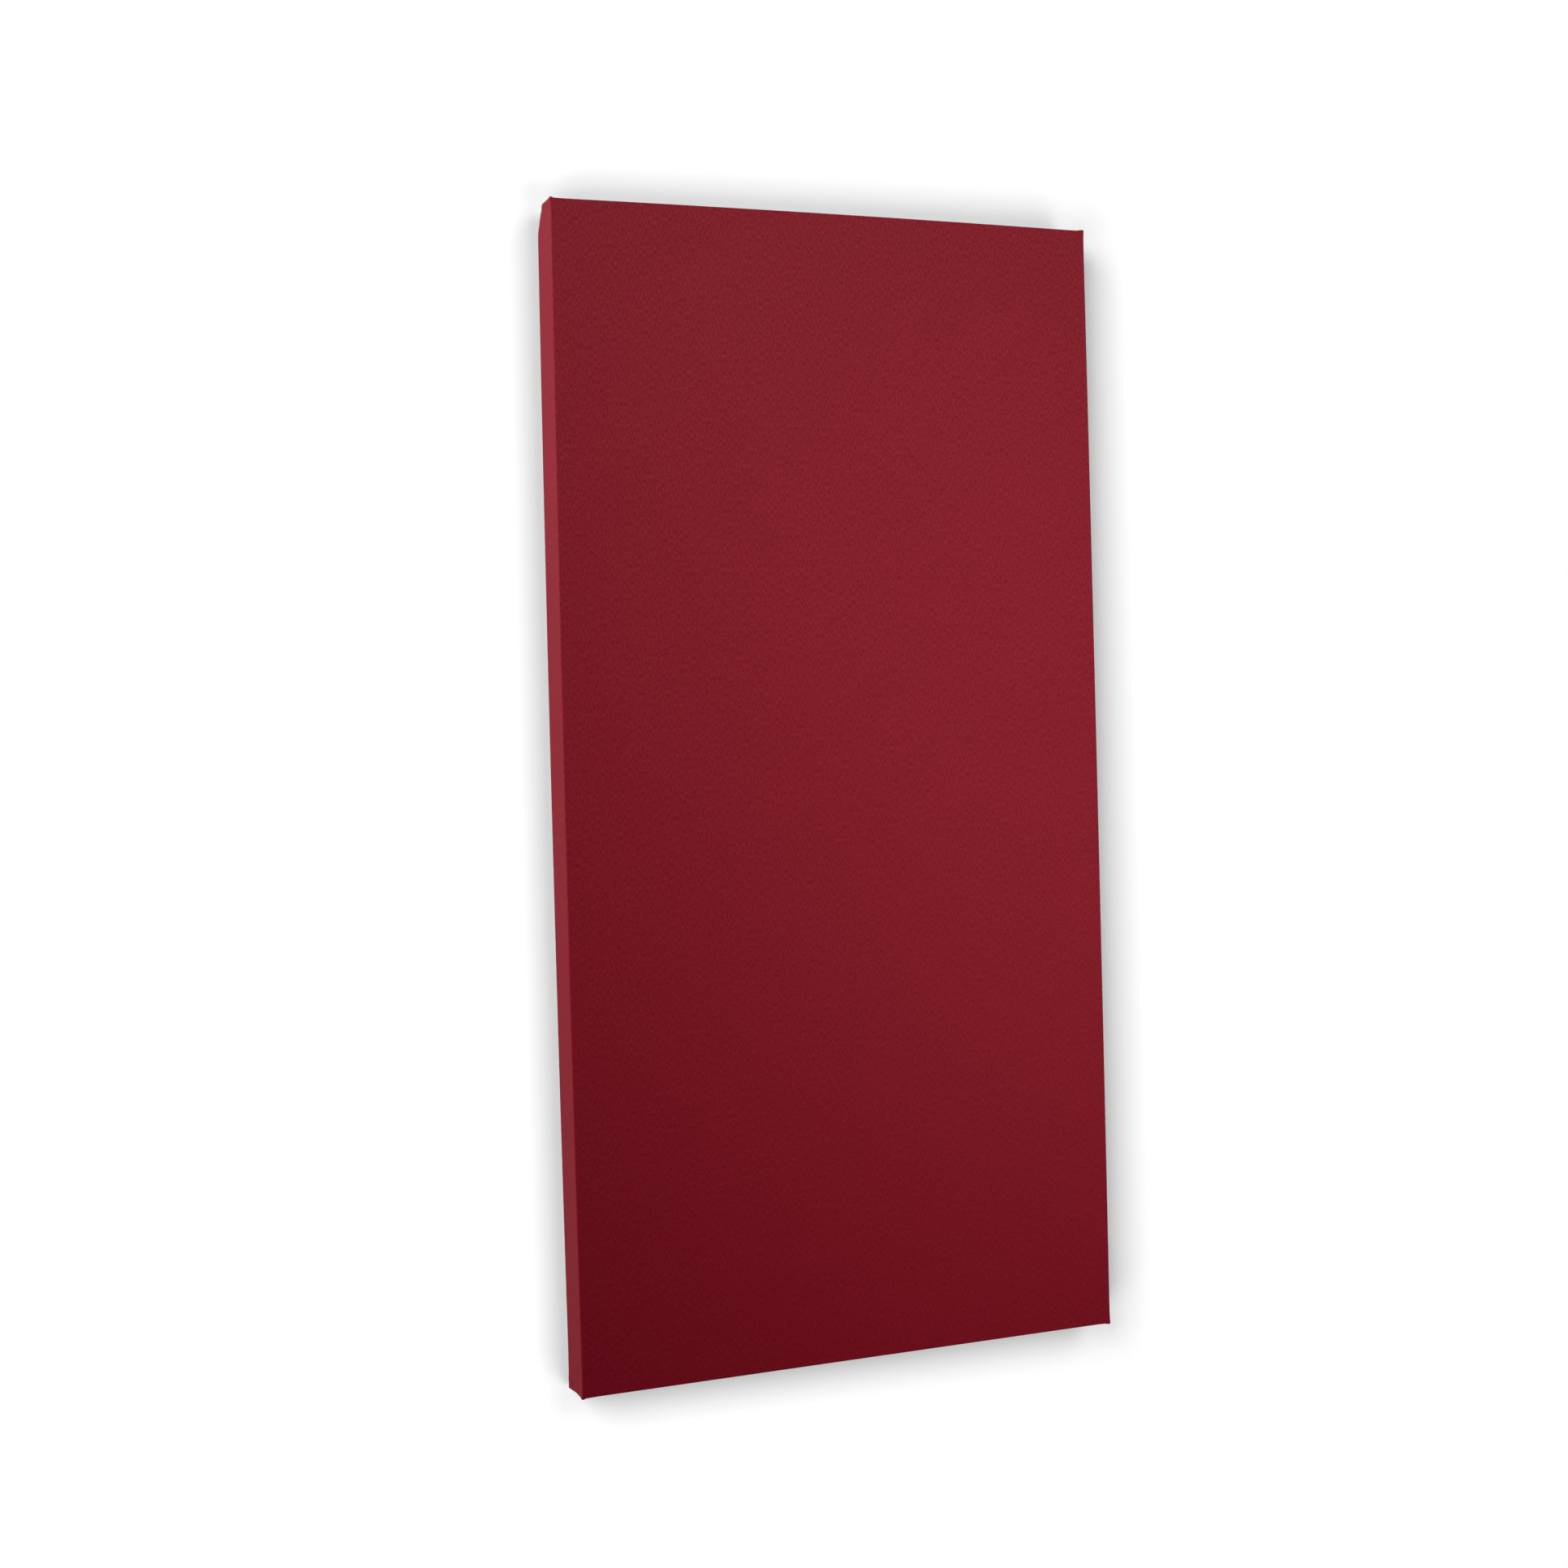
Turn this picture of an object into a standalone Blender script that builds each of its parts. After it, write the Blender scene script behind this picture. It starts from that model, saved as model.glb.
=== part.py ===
"""Fabric-wrapped acoustic wall panel, 24 x 48 x 2 in, with the pair of cleats that hangs it.

Metres, +Z up. The front faces -Y, the wall is the plane Y = 0, and the origin is the
centre of the wall cleat's back face. The panel lifts off the wall cleat along +Z.
"""

import math
from collections import namedtuple

import bmesh
import bpy
from mathutils import Vector

# Driving dimensions of the panel
PANEL_WIDTH = 0.6096
PANEL_HEIGHT = 1.2192
PANEL_DEPTH = 0.0508
GAP = 0.0003  # between neighbouring pieces

# Cloth
CLOTH = 0.0009
CLOTH_EDGE_RADIUS = 0.0022
RETURN_WIDTH = 0.032  # how far the cloth comes round onto the back
FOLD_WIDTH = 0.044  # a corner fold's width where it meets the back
FOLD_START = 0.004  # from the front face to a fold's tip
FOLD_SUNK = 0.0002  # how deep a fold's layer is set into the cloth under it
FOLD_TIP = 0.001  # each sharp tip of a fold is cut back by about this
FOLD_INSET = 0.0028  # from the side and the back to a fold's edges
DRAWN_SOFTNESS = 0.0010  # how deep the edges round the drawn-in corner are softened
MITRE_WIDTH = 0.0006  # the open line between two returns at a corner
MITRE_START = 0.009  # from the outer corner, along the diagonal
DRAWN_MITRE_START = 0.027  # the same at the drawn-in corner

# The rear corners of the frame are clipped to take the folds: where the cut meets each edge
CLIP_ACROSS = 0.025
CLIP_FORWARD = 0.018
CLIP_DOWN = 0.027

# Filling
SCRIM = 0.001
SCRIM_INSET = 0.002
CORE = 0.0381
CORE_EDGE = 0.001
DUST_COVER = 0.0005
DUST_INSET = 0.010
DUST_CORNER = 0.025

# Frame
BOARD = 0.018
BOARD_EDGE = 0.0012
HANGING_RAIL = 0.056
SLAT = 0.040
SLAT_DROPS = {"upper": 0.43, "lower": 0.82}  # from the panel's top to each slat's centre
LAP = 0.010  # how far a slat's end is let into a stile
LAP_SCREW_INSET = 0.005  # from a slat's end to its screw
GUSSET = 0.070
GUSSET_TIP = 0.004  # each sharp tip is cut back by this

# Cleats
CLEAT_LENGTH = 0.450
CLEAT_SHEET = 0.002
CLEAT_FLANGE = 0.022
CLEAT_JOG = 0.002
CLEAT_LIP = 0.012
CLEAT_EDGE = 0.0003
CLEAT_HOLES = 6
CLEAT_HOLE_PITCH = 0.075
CLEAT_SCREW_HOLES = (0, 2, 3, 5)
CLEAT_DROP = 0.034  # from the panel's top to the top of its cleat

# Bumpers
BUMPER_RADIUS = 0.008
BUMPER_FLAT_RADIUS = 0.0066
BUMPER_CLEARANCE = 0.0002  # to the wall
BUMPER_INSET = 0.042  # from the panel's side and bottom
BUMPER_SCREW_DEPTH = 0.0017  # from the bumper's wall face to its screw's head
BUMPER_SHOULDER = ((0.95, 0.87), (1.0, 0.65))  # its rounded rim, as shares of radius and height

# Fasteners
ScrewSize = namedtuple("ScrewSize", "head_radius head_height shank_radius length")
FRAME_SCREW = ScrewSize(0.0038, 0.0004, 0.0020, 0.045)
LAP_SCREW = ScrewSize(0.0030, 0.0003, 0.0016, 0.020)
BUMPER_SCREW = ScrewSize(0.0035, 0.0003, 0.0018, 0.012)
CLEAT_SCREW = ScrewSize(0.0036, 0.0019, 0.0019, 0.0114)
PAN_HEAD_DOME = ((0.0, 1.0), (0.55, 0.94), (0.88, 0.66), (1.0, 0.2))  # its outline, as shares of the head
SCREW_SUNK = 0.0002
FRAME_SCREW_DEPTHS = (0.021, 0.039)  # from the panel's back
HOLE_OVERSHOOT = 0.001
TURN_STEPS = 22
SHARP_ANGLE = math.radians(35)
SNAP = 0.000001  # how near to a cutting plane a point counts as on it

# The cleats hook together with one sheet's room and two gaps behind each lip
CLEAT_STEP = CLEAT_SHEET + 2 * GAP
CLEAT_SLOPE = CLEAT_JOG / CLEAT_STEP
CLEAT_REACH = CLEAT_FLANGE / 2 + CLEAT_JOG
CLEAT_RISE = 2 * CLEAT_REACH + CLEAT_LIP + GAP * (math.hypot(1, CLEAT_SLOPE) - CLEAT_SLOPE)

# Planes across the depth, from the wall to the front
PANEL_CLEAT_BACK = -(CLEAT_STEP + CLEAT_SHEET + GAP)
DUST_BACK = PANEL_CLEAT_BACK - GAP
WRAP_BACK = DUST_BACK - DUST_COVER - GAP
WRAP_FRONT = WRAP_BACK - PANEL_DEPTH
FRAME_BACK = WRAP_BACK - CLOTH - GAP
SCRIM_FRONT = WRAP_FRONT + CLOTH + GAP
FRAME_FRONT = SCRIM_FRONT + SCRIM + GAP
CORE_BACK = FRAME_FRONT + CORE
SLAT_FRONT = CORE_BACK + GAP

# Heights and half widths
PANEL_TOP = CLEAT_RISE + CLEAT_FLANGE / 2 + CLEAT_DROP
PANEL_BOTTOM = PANEL_TOP - PANEL_HEIGHT
PANEL_SIDE = PANEL_WIDTH / 2
SKIN = CLOTH + GAP
FRAME_SIDE = PANEL_SIDE - SKIN
FRAME_TOP = PANEL_TOP - SKIN
FRAME_BOTTOM = PANEL_BOTTOM + SKIN
INNER_SIDE = FRAME_SIDE - BOARD - GAP
INNER_TOP = FRAME_TOP - BOARD - GAP
INNER_BOTTOM = FRAME_BOTTOM + BOARD + GAP

LEFT, RIGHT = -1, 1
UP, DOWN = 1, -1
CORNERS = [(side, end) for side in (LEFT, RIGHT) for end in (UP, DOWN)]
SIDE_NAMES = {LEFT: "left", RIGHT: "right"}
END_NAMES = {UP: "top", DOWN: "bottom"}


def clear_scene():
    for obj in list(bpy.data.objects):
        bpy.data.objects.remove(obj)


def new_collection(name):
    collection = bpy.data.collections.new(name)
    bpy.context.scene.collection.children.link(collection)
    return collection


def material(name, colour, roughness, metallic=0.0):
    made = bpy.data.materials.new(name)
    made.use_nodes = True
    shader = made.node_tree.nodes["Principled BSDF"]
    shader.inputs["Base Color"].default_value = (*colour, 1.0)
    shader.inputs["Roughness"].default_value = roughness
    shader.inputs["Metallic"].default_value = metallic
    return made


def box(low, high):
    """A box between two corners, centred on its own origin, and where that origin goes."""
    low, high = Vector(low), Vector(high)
    bm = bmesh.new()
    bmesh.ops.create_cube(bm, size=1.0)
    bmesh.ops.scale(bm, vec=high - low, verts=bm.verts)
    return bm, (low + high) / 2


def clip(bm, point, normal):
    """Cuts away what lies beyond a plane and closes the cut with one face."""
    cut = bmesh.ops.bisect_plane(
        bm,
        geom=bm.verts[:] + bm.edges[:] + bm.faces[:],
        dist=SNAP,
        plane_co=point,
        plane_no=normal,
        clear_outer=True,
    )
    rim = [edge for edge in cut["geom_cut"] if isinstance(edge, bmesh.types.BMEdge)]
    if rim:
        bmesh.ops.contextual_create(bm, geom=rim)
        bmesh.ops.recalc_face_normals(bm, faces=bm.faces)


def rear_corner(side, end):
    return Vector((side * PANEL_SIDE, WRAP_BACK, PANEL_TOP if end == UP else PANEL_BOTTOM))


def corner_cut(side, end, inward=0.0):
    """A point and the outward normal of the plane across a rear corner of the panel."""
    normal = Vector((side / CLIP_ACROSS, 1 / CLIP_FORWARD, end / CLIP_DOWN)).normalized()
    on_back_edge = rear_corner(side, end) - Vector((side * CLIP_ACROSS, 0, 0))
    return on_back_edge - normal * inward, normal


def draw_in_corner(bm, centre, side, end):
    """Cuts a rear corner off the cloth's box and softens the three edges of the cut."""
    point, normal = corner_cut(side, end)
    clip(bm, point - centre, normal)
    on_forward_edge = rear_corner(side, end) - Vector((0, CLIP_FORWARD, 0))
    for start, outward in (
        (on_forward_edge, Vector((side, 0, 0))),
        (on_forward_edge, Vector((0, 0, end))),
        (point, Vector((0, 1, 0))),
    ):
        between = (normal + outward).normalized()
        clip(bm, start - between * DRAWN_SOFTNESS - centre, between)


def to_mesh(bm, name):
    mesh = bpy.data.meshes.new(name)
    bm.to_mesh(mesh)
    bm.free()
    return mesh


def add_part(name, mesh, finish, location=(0, 0, 0), facing=None, parent=None):
    """A named piece. Facing is the direction in which its own +Z points."""
    part = bpy.data.objects.new(name, mesh)
    PARTS.objects.link(part)
    part.location = location
    if facing:
        part.rotation_euler = Vector(facing).to_track_quat("Z", "Y").to_euler()
    part.parent = parent
    if not mesh.materials:
        mesh.materials.append(finish)
    return part


def add_cutter(name, mesh, location=(0, 0, 0), facing=None):
    cutter = bpy.data.objects.new(name, mesh)
    CUTTERS.objects.link(cutter)
    cutter.location = location
    if facing:
        cutter.rotation_euler = Vector(facing).to_track_quat("Z", "Y").to_euler()
    cutter.hide_render = True
    cutter.display_type = "WIRE"
    return cutter


def box_cutter(name, low, high):
    bm, centre = box(low, high)
    return add_cutter(name, to_mesh(bm, name), centre)


def cut(part, cutter):
    modifier = part.modifiers.new(cutter.name, "BOOLEAN")
    modifier.object = cutter
    modifier.operation = "DIFFERENCE"


def join(part, added):
    modifier = part.modifiers.new(added.name, "BOOLEAN")
    modifier.object = added
    modifier.operation = "UNION"


def soften(part, width, segments):
    modifier = part.modifiers.new("edges", "BEVEL")
    modifier.width = width
    modifier.segments = segments
    modifier.limit_method = "ANGLE"
    modifier.angle_limit = SHARP_ANGLE


def thicken(part, thickness):
    """Gives an open surface its thickness, on the side away from its normals."""
    modifier = part.modifiers.new("thickness", "SOLIDIFY")
    modifier.thickness = thickness
    modifier.offset = -1.0
    modifier.use_even_offset = True


def turned_mesh(name, profile, closed=False):
    """A profile of (radius, height) points turned about the Z axis."""
    points = [(radius, 0.0, height) for radius, height in profile]
    edges = [(i, i + 1) for i in range(len(points) - 1)]
    if closed:
        edges.append((len(points) - 1, 0))
    outline = bpy.data.meshes.new(name + "_outline")
    outline.from_pydata(points, edges, [])
    helper = bpy.data.objects.new(name + "_outline", outline)
    CUTTERS.objects.link(helper)
    turn = helper.modifiers.new("turn", "SCREW")
    turn.steps = turn.render_steps = TURN_STEPS
    turn.use_merge_vertices = True
    turn.merge_threshold = 0.00001
    graph = bpy.context.evaluated_depsgraph_get()
    mesh = bpy.data.meshes.new_from_object(helper.evaluated_get(graph))
    mesh.name = name
    bpy.data.objects.remove(helper)
    mesh.shade_smooth()
    mesh.set_sharp_from_angle(angle=SHARP_ANGLE)
    return mesh


def flat_head_profile(size, room=0.0):
    """A countersunk screw, its head's top at height 0, or with room the hole that it needs."""
    rim = size.head_radius + room
    shank = size.shank_radius + room
    cone_end = -size.head_height - (size.head_radius - size.shank_radius)
    top = HOLE_OVERSHOOT if room else 0.0
    return [
        (0.0, top),
        (rim, top),
        (rim, -size.head_height),
        (shank, cone_end),
        (shank, -size.length + 2 * size.shank_radius),
        (0.0, -size.length - room),
    ]


def pan_head_profile(size):
    """A low domed screw, the underside of its head at height 0."""
    dome = [(across * size.head_radius, up * size.head_height) for across, up in PAN_HEAD_DOME]
    return dome + [
        (size.head_radius, 0.0),
        (size.shank_radius, 0.0),
        (size.shank_radius, -size.length + 2 * size.shank_radius),
        (0.0, -size.length),
    ]


def pan_hole_profile(size):
    """The straight hole for a domed screw, running out past its head."""
    wall = size.shank_radius + GAP
    out = size.head_height + HOLE_OVERSHOOT
    return [
        (0.0, out),
        (wall, out),
        (wall, -size.length + 2 * size.shank_radius),
        (0.0, -size.length - GAP),
    ]


def frame_board(name, low, high, finish, corners=()):
    """A board of the frame, clipped where it reaches a rear corner of the panel."""
    bm, centre = box(low, high)
    for side, end in corners:
        point, normal = corner_cut(side, end, SKIN + 2 * DRAWN_SOFTNESS)
        clip(bm, point - centre, normal)
    board = add_part(name, to_mesh(bm, name), finish, centre, parent=PANEL)
    soften(board, BOARD_EDGE, 2)
    return board


def stile(side):
    inner, outer = sorted((side * (FRAME_SIDE - BOARD), side * FRAME_SIDE))
    return frame_board(
        SIDE_NAMES[side] + "_stile",
        (inner, FRAME_FRONT, FRAME_BOTTOM),
        (outer, FRAME_BACK, FRAME_TOP),
        PINE,
        [(side, UP), (side, DOWN)],
    )


def rail(end):
    low, high = (FRAME_TOP - BOARD, FRAME_TOP) if end == UP else (FRAME_BOTTOM, FRAME_BOTTOM + BOARD)
    return frame_board(
        END_NAMES[end] + "_rail",
        (-INNER_SIDE, FRAME_FRONT, low),
        (INNER_SIDE, FRAME_BACK, high),
        PINE,
        [(LEFT, end), (RIGHT, end)],
    )


def cross_strip(name, centre_height, height, stiles):
    """A plywood strip across the back, its ends let into the stiles and screwed there."""
    reach = FRAME_SIDE - BOARD + LAP - GAP
    low, high = centre_height - height / 2, centre_height + height / 2
    strip = frame_board(name, (-reach, SLAT_FRONT, low), (reach, FRAME_BACK, high), PLYWOOD)
    room = box_cutter(
        name + "_room",
        (-reach - GAP, SLAT_FRONT - GAP, low - GAP),
        (reach + GAP, FRAME_BACK + HOLE_OVERSHOOT, high + GAP),
    )
    for side, upright in stiles.items():
        cut(upright, room)
        place = (side * (reach - LAP_SCREW_INSET), FRAME_BACK - SCREW_SUNK, centre_height)
        add_flat_screw(f"{name}_{SIDE_NAMES[side]}_screw", LAP_SCREW, place, (0, 1, 0), [strip, upright])
    return strip


def gusset(side):
    """A plywood triangle in a bottom corner of the frame."""
    inner, outer = sorted((side * (INNER_SIDE - GUSSET), side * INNER_SIDE))
    bm, centre = box((inner, SLAT_FRONT, INNER_BOTTOM), (outer, FRAME_BACK, INNER_BOTTOM + GUSSET))
    clip(bm, Vector((0, 0, GUSSET_TIP)), Vector((-side, 0, 1)))
    name = SIDE_NAMES[side] + "_gusset"
    made = add_part(name, to_mesh(bm, name), PLYWOOD, centre, parent=PANEL)
    soften(made, BOARD_EDGE / 2, 1)
    return made


def add_flat_screw(name, size, place, facing, boards):
    """A countersunk screw and its hole through the boards that it joins."""
    if size not in SCREW_MESHES:
        screw = turned_mesh(name, flat_head_profile(size))
        hole = turned_mesh(name + "_hole", flat_head_profile(size, GAP))
        SCREW_MESHES[size] = (screw, hole)
    screw, hole = SCREW_MESHES[size]
    cutter = add_cutter(name + "_hole", hole, place, facing)
    for board in boards:
        cut(board, cutter)
    return add_part(name, screw, ZINC, place, facing, PANEL)


def frame_screws(stiles, rails):
    for side, end in CORNERS:
        height = FRAME_TOP - BOARD / 2 if end == UP else FRAME_BOTTOM + BOARD / 2
        for label, depth in zip(("rear", "front"), FRAME_SCREW_DEPTHS):
            name = f"{END_NAMES[end]}_{SIDE_NAMES[side]}_{label}_frame_screw"
            place = (side * (FRAME_SIDE - SCREW_SUNK), WRAP_BACK - depth, height)
            add_flat_screw(name, FRAME_SCREW, place, (side, 0, 0), [stiles[side], rails[end]])


def absorber_core():
    bm, centre = box((-INNER_SIDE, FRAME_FRONT, INNER_BOTTOM), (INNER_SIDE, CORE_BACK, INNER_TOP))
    core = add_part("absorber_core", to_mesh(bm, "absorber_core"), MINERAL_WOOL, centre, parent=PANEL)
    soften(core, CORE_EDGE, 2)


def flat_sheet(name, half_width, low, high, corner, front, thickness, finish):
    """A thin sheet with its outline in the plane of the panel, and its corners cut across."""
    bm = bmesh.new()
    bmesh.ops.create_grid(bm, x_segments=1, y_segments=1, size=1.0)
    for vert in bm.verts:
        vert.co = Vector((vert.co.x * half_width, 0.0, vert.co.y * (high - low) / 2))
    if corner:
        bmesh.ops.bevel(bm, geom=bm.verts, offset=corner, segments=1, affect="VERTICES")
    bmesh.ops.recalc_face_normals(bm, faces=bm.faces)
    for face in bm.faces:
        if face.normal.y > 0:
            face.normal_flip()
    sheet = add_part(name, to_mesh(bm, name), finish, (0, front, (low + high) / 2), parent=PANEL)
    thicken(sheet, thickness)
    return sheet


def front_scrim():
    flat_sheet(
        "front_scrim",
        FRAME_SIDE - SCRIM_INSET,
        FRAME_BOTTOM + SCRIM_INSET,
        FRAME_TOP - SCRIM_INSET,
        0.0,
        SCRIM_FRONT,
        SCRIM,
        TISSUE,
    )


def dust_cover():
    return flat_sheet(
        "rear_dust_cover",
        PANEL_SIDE - DUST_INSET,
        PANEL_BOTTOM + DUST_INSET,
        PANEL_TOP - DUST_INSET,
        DUST_CORNER,
        DUST_BACK - DUST_COVER,
        DUST_COVER,
        NON_WOVEN,
    )


def corner_fold(side, end):
    """The layer that the cloth's spare corner makes on the panel's top or bottom side."""
    outer = side * (PANEL_SIDE - FOLD_INSET)
    inner = outer - side * FOLD_WIDTH
    face = PANEL_TOP if end == UP else PANEL_BOTTOM
    low_x, high_x = sorted((inner, outer))
    low_z, high_z = sorted((face - end * FOLD_SUNK, face + end * CLOTH))
    front, back = WRAP_FRONT + FOLD_START, WRAP_BACK - FOLD_INSET
    bm, centre = box((low_x, front, low_z), (high_x, back, high_z))
    clip(bm, Vector((-side * FOLD_TIP, 0, 0)), Vector((-side * (back - front), -FOLD_WIDTH, 0)))
    if (side, end) == (LEFT, UP):
        point, normal = corner_cut(side, end, CLOTH_EDGE_RADIUS)
        clip(bm, point - centre, normal)
    name = f"{END_NAMES[end]}_{SIDE_NAMES[side]}_fold"
    return add_cutter(name, to_mesh(bm, name), centre)


def mitre_line(side, end):
    """The thin open line where two returns of the cloth meet at a corner."""
    start = DRAWN_MITRE_START if (side, end) == (LEFT, UP) else MITRE_START
    stop = (RETURN_WIDTH + CLIP_ACROSS / 2) * math.sqrt(2)
    low = (-MITRE_WIDTH / 2, WRAP_BACK - CLOTH - GAP / 2, -stop)
    high = (MITRE_WIDTH / 2, WRAP_BACK + HOLE_OVERSHOOT, -start)
    bm, centre = box(low, high)
    bmesh.ops.translate(bm, vec=centre, verts=bm.verts)
    name = f"{END_NAMES[end]}_{SIDE_NAMES[side]}_mitre"
    corner = (side * PANEL_SIDE, 0, PANEL_TOP if end == UP else PANEL_BOTTOM)
    line = add_cutter(name, to_mesh(bm, name), corner)
    line.rotation_euler.y = math.atan2(side, end)
    return line


def fabric_wrap():
    """One sheet over the front and the four sides, turned in on the back and folded at the corners."""
    bm, centre = box((-PANEL_SIDE, WRAP_FRONT, PANEL_BOTTOM), (PANEL_SIDE, WRAP_BACK, PANEL_TOP))
    draw_in_corner(bm, centre, LEFT, UP)
    back = max(bm.faces, key=lambda face: face.normal.y)
    bmesh.ops.inset_region(bm, faces=[back], thickness=RETURN_WIDTH, use_even_offset=True)
    bmesh.ops.delete(bm, geom=[back], context="FACES_ONLY")
    wrap = add_part("fabric_wrap", to_mesh(bm, "fabric_wrap"), RED_CLOTH, centre, parent=PANEL)
    soften(wrap, CLOTH_EDGE_RADIUS, 3)
    thicken(wrap, CLOTH)
    for side, end in CORNERS:
        join(wrap, corner_fold(side, end))
        cut(wrap, mitre_line(side, end))


def cleat_mesh(name):
    """A strip bent to a flange, a jog and a lip. Its back is at y = 0 and it rises along z."""
    profile = [
        (0.0, -CLEAT_FLANGE / 2),
        (0.0, CLEAT_FLANGE / 2),
        (-CLEAT_STEP, CLEAT_REACH),
        (-CLEAT_STEP, CLEAT_REACH + CLEAT_LIP),
    ]
    bm = bmesh.new()
    line = [bm.verts.new((-CLEAT_LENGTH / 2, y, z)) for y, z in profile]
    edges = [bm.edges.new(pair) for pair in zip(line, line[1:])]
    swept = bmesh.ops.extrude_edge_only(bm, edges=edges)["geom"]
    far_end = [item for item in swept if isinstance(item, bmesh.types.BMVert)]
    bmesh.ops.translate(bm, vec=(CLEAT_LENGTH, 0, 0), verts=far_end)
    bmesh.ops.recalc_face_normals(bm, faces=bm.faces)
    if sum(face.normal.y for face in bm.faces) < 0:
        bmesh.ops.reverse_faces(bm, faces=bm.faces)
    return to_mesh(bm, name)


def cleat_hole_places():
    middle = (CLEAT_HOLES - 1) / 2
    return [(i - middle) * CLEAT_HOLE_PITCH for i in range(CLEAT_HOLES)]


def add_cleat(name, mesh, location, turned, parent):
    """A cleat with its row of holes along the middle of the flange."""
    cleat = add_part(name, mesh, ALUMINIUM, location, parent=parent)
    if turned:
        cleat.rotation_euler.x = math.pi
    thicken(cleat, CLEAT_SHEET)
    soften(cleat, CLEAT_EDGE, 1)
    for number, x in enumerate(cleat_hole_places(), 1):
        place = (x, location[1] + CLEAT_SHEET * (1 if turned else -1), location[2])
        facing = (0, 1 if turned else -1, 0)
        cut(cleat, add_cutter(f"{name}_hole_{number}", PAN_HOLE, place, facing))
    return cleat


def cleat_screws(boards):
    places = cleat_hole_places()
    for number, index in enumerate(CLEAT_SCREW_HOLES, 1):
        place = (places[index], PANEL_CLEAT_BACK + CLEAT_SHEET + GAP, CLEAT_RISE)
        add_part(f"cleat_screw_{number}", PAN_SCREW, ZINC, place, (0, 1, 0), PANEL)
        cutter = add_cutter(f"cleat_screw_{number}_hole", PAN_HOLE, place, (0, 1, 0))
        for board in boards:
            cut(board, cutter)


def bumper(side, boards):
    """A rubber foot on the back, its screw's head sunk into it."""
    name = SIDE_NAMES[side] + "_bumper"
    height = -PANEL_CLEAT_BACK - BUMPER_CLEARANCE
    bore = BUMPER_SCREW.shank_radius + GAP
    head_top = height - BUMPER_SCREW_DEPTH
    recess = BUMPER_SCREW.head_radius + 2 * GAP
    profile = [
        (recess, height),
        (BUMPER_FLAT_RADIUS, height),
        *[(across * BUMPER_RADIUS, up * height) for across, up in BUMPER_SHOULDER],
        (BUMPER_RADIUS, 0.0),
        (bore, 0.0),
        (bore, head_top - (recess - bore)),
        (recess, head_top),
    ]
    mesh = turned_mesh(name, profile, closed=True)
    place = Vector((side * (PANEL_SIDE - BUMPER_INSET), PANEL_CLEAT_BACK, PANEL_BOTTOM + BUMPER_INSET))
    add_part(name, mesh, RUBBER, place, (0, 1, 0), PANEL)
    screw_place = place + Vector((0, head_top, 0))
    add_flat_screw(name + "_screw", BUMPER_SCREW, screw_place, (0, 1, 0), boards)


clear_scene()
PARTS = new_collection("acoustic_panel")
CUTTERS = new_collection("cutters")
RED_CLOTH = material("red_cloth", (0.16, 0.013, 0.023), 0.95)
TISSUE = material("tissue", (0.72, 0.70, 0.64), 0.9)
MINERAL_WOOL = material("mineral_wool", (0.42, 0.33, 0.16), 1.0)
PINE = material("pine", (0.62, 0.42, 0.22), 0.65)
PLYWOOD = material("plywood", (0.56, 0.40, 0.23), 0.6)
NON_WOVEN = material("non_woven", (0.018, 0.018, 0.020), 0.95)
ALUMINIUM = material("aluminium", (0.78, 0.79, 0.80), 0.35, 1.0)
ZINC = material("zinc", (0.62, 0.63, 0.64), 0.3, 1.0)
RUBBER = material("rubber", (0.02, 0.02, 0.02), 0.8)
SCREW_MESHES = {}

PANEL = bpy.data.objects.new("panel", None)
PARTS.objects.link(PANEL)
WALL = bpy.data.objects.new("wall", None)
PARTS.objects.link(WALL)

PAN_SCREW = turned_mesh("pan_screw", pan_head_profile(CLEAT_SCREW))
PAN_HOLE = turned_mesh("pan_hole", pan_hole_profile(CLEAT_SCREW))

fabric_wrap()
front_scrim()
absorber_core()
STILES = {side: stile(side) for side in (LEFT, RIGHT)}
RAILS = {end: rail(end) for end in (UP, DOWN)}
frame_screws(STILES, RAILS)
HANGER = cross_strip("hanging_rail", INNER_TOP - HANGING_RAIL / 2, HANGING_RAIL, STILES)
for slat_name, slat_drop in SLAT_DROPS.items():
    cross_strip(slat_name + "_slat", PANEL_TOP - slat_drop, SLAT, STILES)
COVER = dust_cover()
for bumper_side in (LEFT, RIGHT):
    bumper(bumper_side, [COVER, gusset(bumper_side)])
CLEAT = cleat_mesh("cleat")
add_cleat("panel_cleat", CLEAT, (0, PANEL_CLEAT_BACK, CLEAT_RISE), True, PANEL)
cleat_screws([COVER, HANGER])
add_cleat("wall_cleat", CLEAT, (0, 0, 0), False, WALL)
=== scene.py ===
"""Looks of the fabric-wrapped acoustic panel: cloth, filling, staples, screws, finishes and stage.

Laid out as an add-on and run as a script. Metres, +Z up, the front faces -Y and the wall is Y = 0.
"""

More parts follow.
